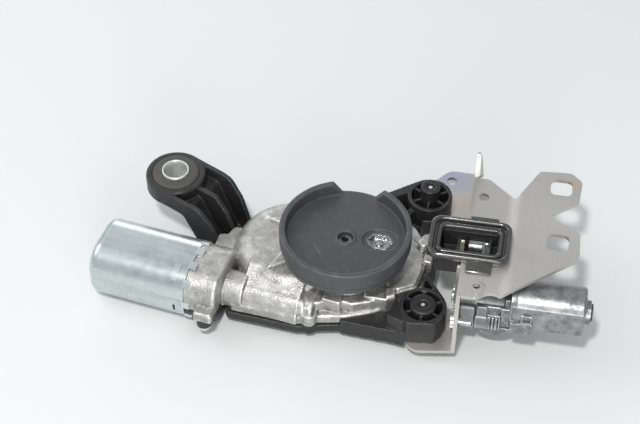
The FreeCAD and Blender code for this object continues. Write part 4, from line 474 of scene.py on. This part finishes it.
finishes = {slot: makeFinish("finish." + slot, look) for slot, look in looks.items()}
print("stage:", len(finishes), "finishes ready")


# every CAD node takes the finish of its slot, but for two whose look is their own: the boss screws are painted
# dark as the shade in their bores with a painted glint at each centre, and the socket insert carries painted
# glints

ownFinish = {"boss_screws": "cup_screw_painted_shade_glint", "socket_insert": "insert_metal_painted_glints"}


def dress(thing, name):
    thing.data.materials.clear()
    thing.data.materials.append(finishes[ownFinish.get(name, slotOf[name])])


for name, thing in nodes.items():
    dress(thing, name)
print("stage: finishes on all nodes")


# pieces made from a node's own mesh

# lengths in mm, angles in degrees
meshRules = {"mergeWithin": 0.003, "shortestEdge": 0.002, "flatWithin": 0.6, "sharpFrom": 48.0, "flatWeight": 100,
             "breakFrom": 35.0, "breakSegments": 2, "easeFactor": 0.5}


def joined(pieceName, source):
    # the node's loose triangles joined at their corners, in a mesh of its own
    data = nodes[source].data.copy()
    data.name = pieceName
    for extra in ("custom_normal", "sharp_edge", "sharp_face"):
        if extra in data.attributes:
            data.attributes.remove(data.attributes[extra])
    work = bmesh.new()
    work.from_mesh(data)
    bmesh.ops.remove_doubles(work, verts=work.verts, dist=meshRules["mergeWithin"] * mm)
    bmesh.ops.dissolve_degenerate(work, edges=work.edges, dist=meshRules["shortestEdge"] * mm)
    work.to_mesh(data)
    work.free()
    return placed(pieceName, data)


def flattened(pieceName, source):
    # the same, with the triangles of each flat side made one face
    thing = joined(pieceName, source)
    work = bmesh.new()
    work.from_mesh(thing.data)
    bmesh.ops.dissolve_limit(work, angle_limit=math.radians(meshRules["flatWithin"]),
                             verts=work.verts, edges=work.edges)
    work.to_mesh(thing.data)
    work.free()
    return thing


def settled(thing):
    # the mesh after its modifiers, kept as the piece's own mesh
    bpy.context.view_layer.update()
    seen = thing.evaluated_get(bpy.context.evaluated_depsgraph_get())
    data = bpy.data.meshes.new_from_object(seen)
    thing.modifiers.clear()
    thing.data = data
    return thing


def flatFacesFirst(thing):
    # smooth corners, while the large flat faces keep their own direction
    thing.data.shade_smooth()
    thing.data.set_sharp_from_angle(angle=math.radians(meshRules["sharpFrom"]))
    weighted = thing.modifiers.new("flat faces first", "WEIGHTED_NORMAL")
    weighted.weight = meshRules["flatWeight"]
    weighted.keep_sharp = True


def edgesBroken(thing, width):
    # a small round along every sharp edge, then plain shading on the flat sides
    broken = thing.modifiers.new("broken edge", "BEVEL")
    broken.width = width * mm
    broken.segments = meshRules["breakSegments"]
    broken.limit_method = "ANGLE"
    broken.angle_limit = math.radians(meshRules["breakFrom"])
    settled(thing)
    flatFacesFirst(thing)
    return thing


def finishPiece(thing, source, *others):
    dress(thing, source)
    if not thing.modifiers:
        thing.data.shade_smooth()
    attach(thing, bodyOf[source])
    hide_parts(source, *others)


def castPiece(source, grid, rounds, most):
    # cast or moulded skin: the shape is laid on a fine grid, its corners are then eased
    thing = joined(source + ".skin", source)
    fine = thing.modifiers.new("fine grid", "REMESH")
    fine.mode = "VOXEL"
    fine.voxel_size = grid * mm
    ease = thing.modifiers.new("eased corners", "SMOOTH")
    ease.factor = meshRules["easeFactor"]
    ease.iterations = rounds
    settled(thing)
    count = 2 * len(thing.data.polygons)
    if count > most:
        thin = thing.modifiers.new("fewer faces", "DECIMATE")
        thin.ratio = most / count
        settled(thing)
    print("piece:", thing.name, len(thing.data.polygons), "faces from", count)
    return thing


# grid in mm, rounds of easing, most triangles
castPieces = {"gear_housing": (0.45, 3, 190000), "mount_cover": (0.5, 2, 190000),
              "actuator_housing": (0.3, 3, 60000), "actuator_cover": (0.3, 2, 60000),
              "driver_disc": (0.38, 5, 190000)}
for name, (grid, rounds, most) in castPieces.items():
    finishPiece(castPiece(name, grid, rounds, most), name)
print("stage: cast and moulded skins")


# width of the broken edge in mm
edgedPieces = {"latch_case": 0.35, "motor_yoke": 0.15, "actuator_can": 0.4, "actuator_end_cap": 0.3,
               "latch_plate_left": 0.2, "latch_plate_right": 0.2, "latch_claw": 0.2, "socket_insert": 0.15,
               "disc_bolt": 0.15, "cover_screws": 0.2, "actuator_screw": 0.2, "connector_shroud": 0.2,
               "latch_rivets": 0.15}
for name, width in edgedPieces.items():
    finishPiece(edgesBroken(flattened(name + ".edged", name), width), name)
print("stage: pieces with broken edges")


# bracket: the plate right of the latch stands a little higher, over a soft bend

bend = {"from": 81.0, "to": 88.5, "rise": 0.9, "above": 38.0, "cuts": 7, "edge": 0.22, "plateAbove": 39.5,
        "plainEdge": [(61.5, -33.6), (73.4, -30.0), (78.5, -32.8), (83.5, -35.4), (119.0, -2.0)],
        "wavedEdge": [(61.5, -34.3), (66.0, -34.6), (70.0, -34.5), (72.0, -33.9), (73.6, -32.7), (75.2, -31.4),
                      (76.8, -30.5), (78.5, -30.1), (80.8, -30.4), (83.4, -31.7), (119.0, -2.0)],
        "waveCuts": [68.4, 70.0, 72.0, 73.6, 75.2, 76.8, 78.5, 79.6], "edgeFrom": 61.4, "edgeWithin": 1.0,
        "hole": (72.1, -27.2), "holeReach": 3.0, "holeShift": -1.3,
        "hornAbove": 43.0, "hornBehind": 47.0, "hornFoot": 42.0, "hornLean": 0.44}


def pointsOf(data):
    # the mesh's points in mm, a row each
    spots = np.zeros(3 * len(data.vertices), np.float32)
    data.vertices.foreach_get("co", spots)
    return spots.reshape(-1, 3) / mm


def bentBracket():
    # height added over the bend is rise * (3s^2 - 2s^3), s running from 0 to 1 across it
    thing = flattened("latch_bracket.bent", "latch_bracket")
    holeX, holeY = bend["hole"]
    spots = pointsOf(thing.data)
    onHole = np.hypot(spots[:, 0] - holeX, spots[:, 1] - holeY) < bend["holeReach"]
    spots[:, 0] += np.where(onHole & (spots[:, 2] > bend["plateAbove"]), bend["holeShift"], 0)
    thing.data.vertices.foreach_set("co", (spots * mm).ravel())
    work = bmesh.new()
    work.from_mesh(thing.data)
    for place in bend["waveCuts"] + np.linspace(bend["from"], bend["to"], bend["cuts"]).tolist():
        everything = work.verts[:] + work.edges[:] + work.faces[:]
        bmesh.ops.bisect_plane(work, geom=everything, dist=0.00001, plane_co=(place * mm, 0, 0),
                               plane_no=(1, 0, 0))
    work.to_mesh(thing.data)
    work.free()
    spots = pointsOf(thing.data)
    # the plate's front edge is moved on to the waved line, point by point along x
    plain = np.interp(spots[:, 0], *np.array(bend["plainEdge"]).T)
    waved = np.interp(spots[:, 0], *np.array(bend["wavedEdge"]).T)
    onEdge = (np.abs(spots[:, 1] - plain) < bend["edgeWithin"]) & (spots[:, 0] > bend["edgeFrom"])
    onEdge &= spots[:, 2] > bend["plateAbove"]
    onEdge &= np.hypot(spots[:, 0] - holeX - bend["holeShift"], spots[:, 1] - holeY) > bend["holeReach"]
    spots[:, 1] += np.where(onEdge, waved - plain, 0)
    onHorn = (spots[:, 2] > bend["hornAbove"]) & (spots[:, 1] > bend["hornBehind"])
    spots[:, 1] += np.where(onHorn, bend["hornLean"] * (spots[:, 2] - bend["hornFoot"]), 0)
    share = np.clip((spots[:, 0] - bend["from"]) / (bend["to"] - bend["from"]), 0, 1)
    lift = bend["rise"] * (3 * share ** 2 - 2 * share ** 3)
    spots[:, 2] += np.where(spots[:, 2] > bend["above"], lift, 0)
    thing.data.vertices.foreach_set("co", (spots * mm).ravel())
    return edgesBroken(thing, bend["edge"])


finishPiece(bentBracket(), "latch_bracket")
print("stage: bracket")


# new pieces worked out as grids of points

def gridMesh(name, points, closedU, closedV, capEnds=False):
    # points[i, j] joined to their neighbours; a closed direction joins its last row to its first
    rows, columns = points.shape[:2]
    row = np.arange(rows if closedU else rows - 1)
    column = np.arange(columns if closedV else columns - 1)
    row, column = (part.ravel() for part in np.meshgrid(row, column, indexing="ij"))
    nextRow, nextColumn = (row + 1) % rows, (column + 1) % columns
    faces = np.stack([row * columns + column, nextRow * columns + column, nextRow * columns + nextColumn,
                      row * columns + nextColumn], 1).tolist()
    if capEnds:
        oneEnd = np.arange(columns)
        faces += [oneEnd[::-1].tolist(), (oneEnd + (rows - 1) * columns).tolist()]
    data = bpy.data.meshes.new(name)
    data.from_pydata((points.reshape(-1, 3) * mm).tolist(), [], faces)
    work = bmesh.new()
    work.from_mesh(data)
    bmesh.ops.remove_doubles(work, verts=work.verts, dist=meshRules["shortestEdge"] * mm)
    bmesh.ops.recalc_face_normals(work, faces=work.faces)
    work.to_mesh(data)
    work.free()
    data.shade_smooth()
    return placed(name, data)


def eased(profile, times, cut=0.15):
    # every side of the closed profile gives two points, at a share cut and 1 - cut of it, again and again
    line = np.array(profile, float)
    for _ in range(times):
        ahead = np.roll(line, -1, axis=0)
        line = np.stack([(1 - cut) * line + cut * ahead, cut * line + (1 - cut) * ahead], 1).reshape(-1, 2)
    return line


def turnedPiece(name, centre, profile, around=96, times=2):
    # point (r, z) of the profile goes to (x + r cos t, y + r sin t, z) for t once round
    line = eased(profile, times)
    turn = np.linspace(0, 2 * math.pi, around, endpoint=False)[:, None]
    x = centre[0] + line[None, :, 0] * np.cos(turn)
    y = centre[1] + line[None, :, 0] * np.sin(turn)
    z = np.broadcast_to(line[None, :, 1], x.shape)
    return gridMesh(name, np.stack([x, y, z], -1), True, True)


eye = {"centre": (-99.0, 34.0), "top": 33.6, "low": 24.0, "seat": 12.8, "neck": 11.4, "sleeve": 7.3, "bore": 6.5,
       "rubberTop": 34.95, "rubberLow": 21.45, "sleeveTop": 36.0, "sleeveLow": 21.4, "flange": 10.3,
       "flangeLow": 20.25}


def grommetProfile(e):
    # from the bore outwards over the domed top, down to the shoulder, the neck and the lower lip
    return [(e["sleeve"] + 0.02, e["rubberLow"]), (e["sleeve"] + 0.02, e["rubberTop"] - 0.1),
            (e["sleeve"] + 0.5, e["rubberTop"]), (9.9, e["rubberTop"] - 0.05), (11.3, e["rubberTop"] - 0.3),
            (12.2, e["top"] + 0.75), (e["seat"] - 0.25, e["top"] + 0.3), (e["seat"] - 0.05, e["top"] - 0.1),
            (e["seat"] - 0.05, e["low"] + 3.3), (e["neck"] - 0.05, e["low"] + 3.2), (e["neck"] - 0.05, e["low"]),
            (12.3, e["low"] - 0.15), (12.6, e["low"] - 0.9), (12.0, e["rubberLow"] + 0.2), (10.9, e["rubberLow"])]


def sleeveProfile(e):
    # thin tube with a rolled top edge and a flange under the rubber
    return [(e["bore"], e["flangeLow"]), (e["bore"], e["sleeveTop"] - 0.2), (e["bore"] + 0.2, e["sleeveTop"]),
            (e["sleeve"] - 0.2, e["sleeveTop"]), (e["sleeve"], e["sleeveTop"] - 0.2),
            (e["sleeve"], e["sleeveLow"]), (e["flange"], e["sleeveLow"]), (e["flange"], e["flangeLow"])]


finishPiece(turnedPiece("grommet.turned", eye["centre"], grommetProfile(eye)), "grommet")
finishPiece(turnedPiece("sleeve.turned", eye["centre"], sleeveProfile(eye), times=1), "grommet_sleeve")
print("stage: grommet and sleeve")


# frame round the latch opening: two glossy beads and a valley between them

mouth = {"x": (43.2, 85.2), "y": (-12.4, 16.0), "corner": 5.5, "low": 42.0, "top": 46.0, "step": 44.75,
         "valley": 43.4}


def roundedPath(x0, x1, y0, y1, inset, corner, perCorner=14, perSide=10):
    # rectangle drawn in by the inset, each corner an arc c + r (cos t, sin t), the sides straight between them
    radius = np.maximum(corner - 0.5 * inset, 1.5)
    starts = [(x1, y0, -90), (x1, y1, 0), (x0, y1, 90), (x0, y0, 180)]
    lines = []
    for cornerX, cornerY, first in starts:
        inX = -1 if cornerX == x1 else 1
        inY = 1 if cornerY == y0 else -1
        turn = np.radians(np.linspace(first, first + 90, perCorner))
        centreX = cornerX + inX * (inset + radius)
        centreY = cornerY + inY * (inset + radius)
        lines.append(np.stack([centreX + radius * np.cos(turn), centreY + radius * np.sin(turn)], -1))
    whole = []
    for k, arc in enumerate(lines):
        ahead = lines[(k + 1) % 4][0]
        share = np.linspace(0, 1, perSide + 2)[1:-1, None]
        whole += [arc, arc[-1] * (1 - share) + ahead * share]
    return np.concatenate(whole)


def sweptFrame(m):
    # profile of (inset, height) carried round the rounded rectangle
    high, step, valley = m["top"], m["step"], m["valley"]
    profile = [(0.0, m["low"]), (0.0, high - 1.3), (0.25, high - 0.45), (0.9, high), (1.7, high),
               (2.35, high - 0.5), (2.55, valley + 0.7), (2.8, valley), (3.7, valley), (3.95, valley + 0.45),
               (4.2, step - 0.3), (4.7, step), (5.5, step), (6.0, step - 0.3), (6.3, step - 1.0), (6.3, m["low"])]
    profile = eased(profile, 2)
    rings = []
    for inset, height in profile:
        path = roundedPath(*m["x"], *m["y"], inset, m["corner"])
        rings.append(np.c_[path, np.full(len(path), height)])
    return gridMesh("frame.swept", np.stack(rings, 1), True, True)


def bar(name, profile, x0, x1, shrink=0.25):
    # outline of (y, z) carried along x, drawn in towards its middle at both ends
    line = eased(profile, 2)
    middle = line.mean(0)
    stations = [(x0, 1 - shrink / 2), (x0 + 0.12, 1 - shrink / 6), (x0 + 0.4, 1.0), (x1 - 0.4, 1.0),
                (x1 - 0.12, 1 - shrink / 6), (x1, 1 - shrink / 2)]
    rows = [np.c_[np.full(len(line), x), middle + (line - middle) * size] for x, size in stations]
    return gridMesh(name, np.stack(rows), False, True, capEnds=True)


def joinPieces(first, *others):
    # several shells in one mesh
    work = bmesh.new()
    for thing in (first, *others):
        work.from_mesh(thing.data)
    work.to_mesh(first.data)
    work.free()
    for thing in others:
        bpy.data.objects.remove(thing)
    return first


frontTab = [(-19.0, 42.0), (-11.0, 42.0), (-11.0, 44.6), (-14.2, 44.6), (-18.2, 43.2), (-19.0, 42.6)]
backTab = [(13.0, 42.0), (20.4, 42.0), (20.4, 42.8), (20.0, 43.2), (13.0, 43.2)]
wholeFrame = joinPieces(sweptFrame(mouth), bar("frame.frontTab", frontTab, 64.0, 77.0),
                        bar("frame.backTab", backTab, 62.9, 77.7))
finishPiece(wholeFrame, "latch_frame")
print("stage: latch frame")


def addPiece(thing, source):
    # goes with a node that stays shown
    dress(thing, source)
    thing.data.shade_smooth()
    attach(thing, bodyOf[source])


# rib of metal over the slit in the case, round the worm's far end

bridge = {"axisX": -18.3, "axisY": -30.2, "axisZ": 13.0, "half": 2.7, "slope": 0.1584, "from": -40.0, "to": 128.0,
          "radius": 6.78, "sink": 0.72, "sinkAt": 78, "sinkOver": 9, "sides": 0.65, "thick": 1.0, "hollow": 0.2}


def caseBridge(b):
    # outer radius = radius - sink e - sides a^4, inner = outer - thick + hollow a^2, where a runs from -1 to 1
    # across the rib and e = 1 / (1 + exp(-(angle - sinkAt) / sinkOver)) along it
    turn = np.radians(np.linspace(b["from"], b["to"], 48))[:, None]
    across = np.linspace(-1, 1, 13)[None, :]
    ease = 1 / (1 + np.exp(-(np.degrees(turn) - b["sinkAt"]) / b["sinkOver"]))
    outer = b["radius"] - b["sink"] * ease - b["sides"] * across ** 4
    inner = outer - b["thick"] + b["hollow"] * across ** 2

    def shell(radius):
        x = b["axisX"] + b["half"] * across + 0 * turn
        y = b["axisY"] - b["slope"] * (x - b["axisX"]) - radius * np.cos(turn)
        return np.stack([x, y, b["axisZ"] + radius * np.sin(turn)], -1)

    ring = np.concatenate([shell(outer), shell(inner)[:, ::-1]], axis=1)
    return gridMesh("case.bridge", ring, False, True, capEnds=True)


addPiece(caseBridge(bridge), "gear_housing")


# black block under the front edge of the bracket's plate; it stands in for the dark band of shade under that edge

shadePad = {"x": (66.0, 85.0), "y": (-23.6, -17.0), "low": 34.2, "high": 41.8, "nose": 1.2, "noseRise": 2.5}


def shadePadMesh(p):
    # profile of (y, z) with a sloped front, carried along x
    front, back = p["y"]
    outline = [(front + p["nose"], p["low"]), (back, p["low"]), (back, p["high"]), (front, p["high"]),
               (front, p["low"] + p["noseRise"])]
    return bar("bracket.pad", outline, *p["x"], shrink=0.1)


shadePadPiece = shadePadMesh(shadePad)
dress(shadePadPiece, "mount_cover")
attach(shadePadPiece, "base")
print("stage: pad under the bracket")


# the thin horn on the bracket's web: a folded blade, narrow at its tip

horn = {"baseZ": 41.0, "tipZ": 52.3, "x": 63.0, "y": 52.6, "halfWide": 2.5, "halfDeep": 2.04, "drift": 0.5,
        "lean": 4.6, "tipShare": 0.12, "taper": 0.75, "fold": 0.25}


def hornBlade(h):
    # an oval whose size is tip + (1 - tip) (1 - s)^taper while s goes from 0 at its foot to 1 at its tip and its
    # centre moves back and to the right; fold cos 2t flattens it to one side
    rise = np.linspace(0, 1, 24)[:, None]
    turn = np.linspace(0, 2 * math.pi, 28, endpoint=False)[None, :]
    left = h["tipShare"] + (1 - h["tipShare"]) * (1 - rise) ** h["taper"]
    x = h["x"] + h["drift"] * rise + h["halfWide"] * left * (np.cos(turn) + h["fold"] * np.cos(2 * turn))
    y = h["y"] + h["lean"] * rise + h["halfDeep"] * left * np.sin(turn)
    z = h["baseZ"] + (h["tipZ"] - h["baseZ"]) * rise + 0 * turn
    return gridMesh("web.horn", np.stack([x, y, z], -1), False, True, capEnds=True)


addPiece(hornBlade(horn), "latch_bracket")
print("stage: bridge and horn")


print("stage: done")
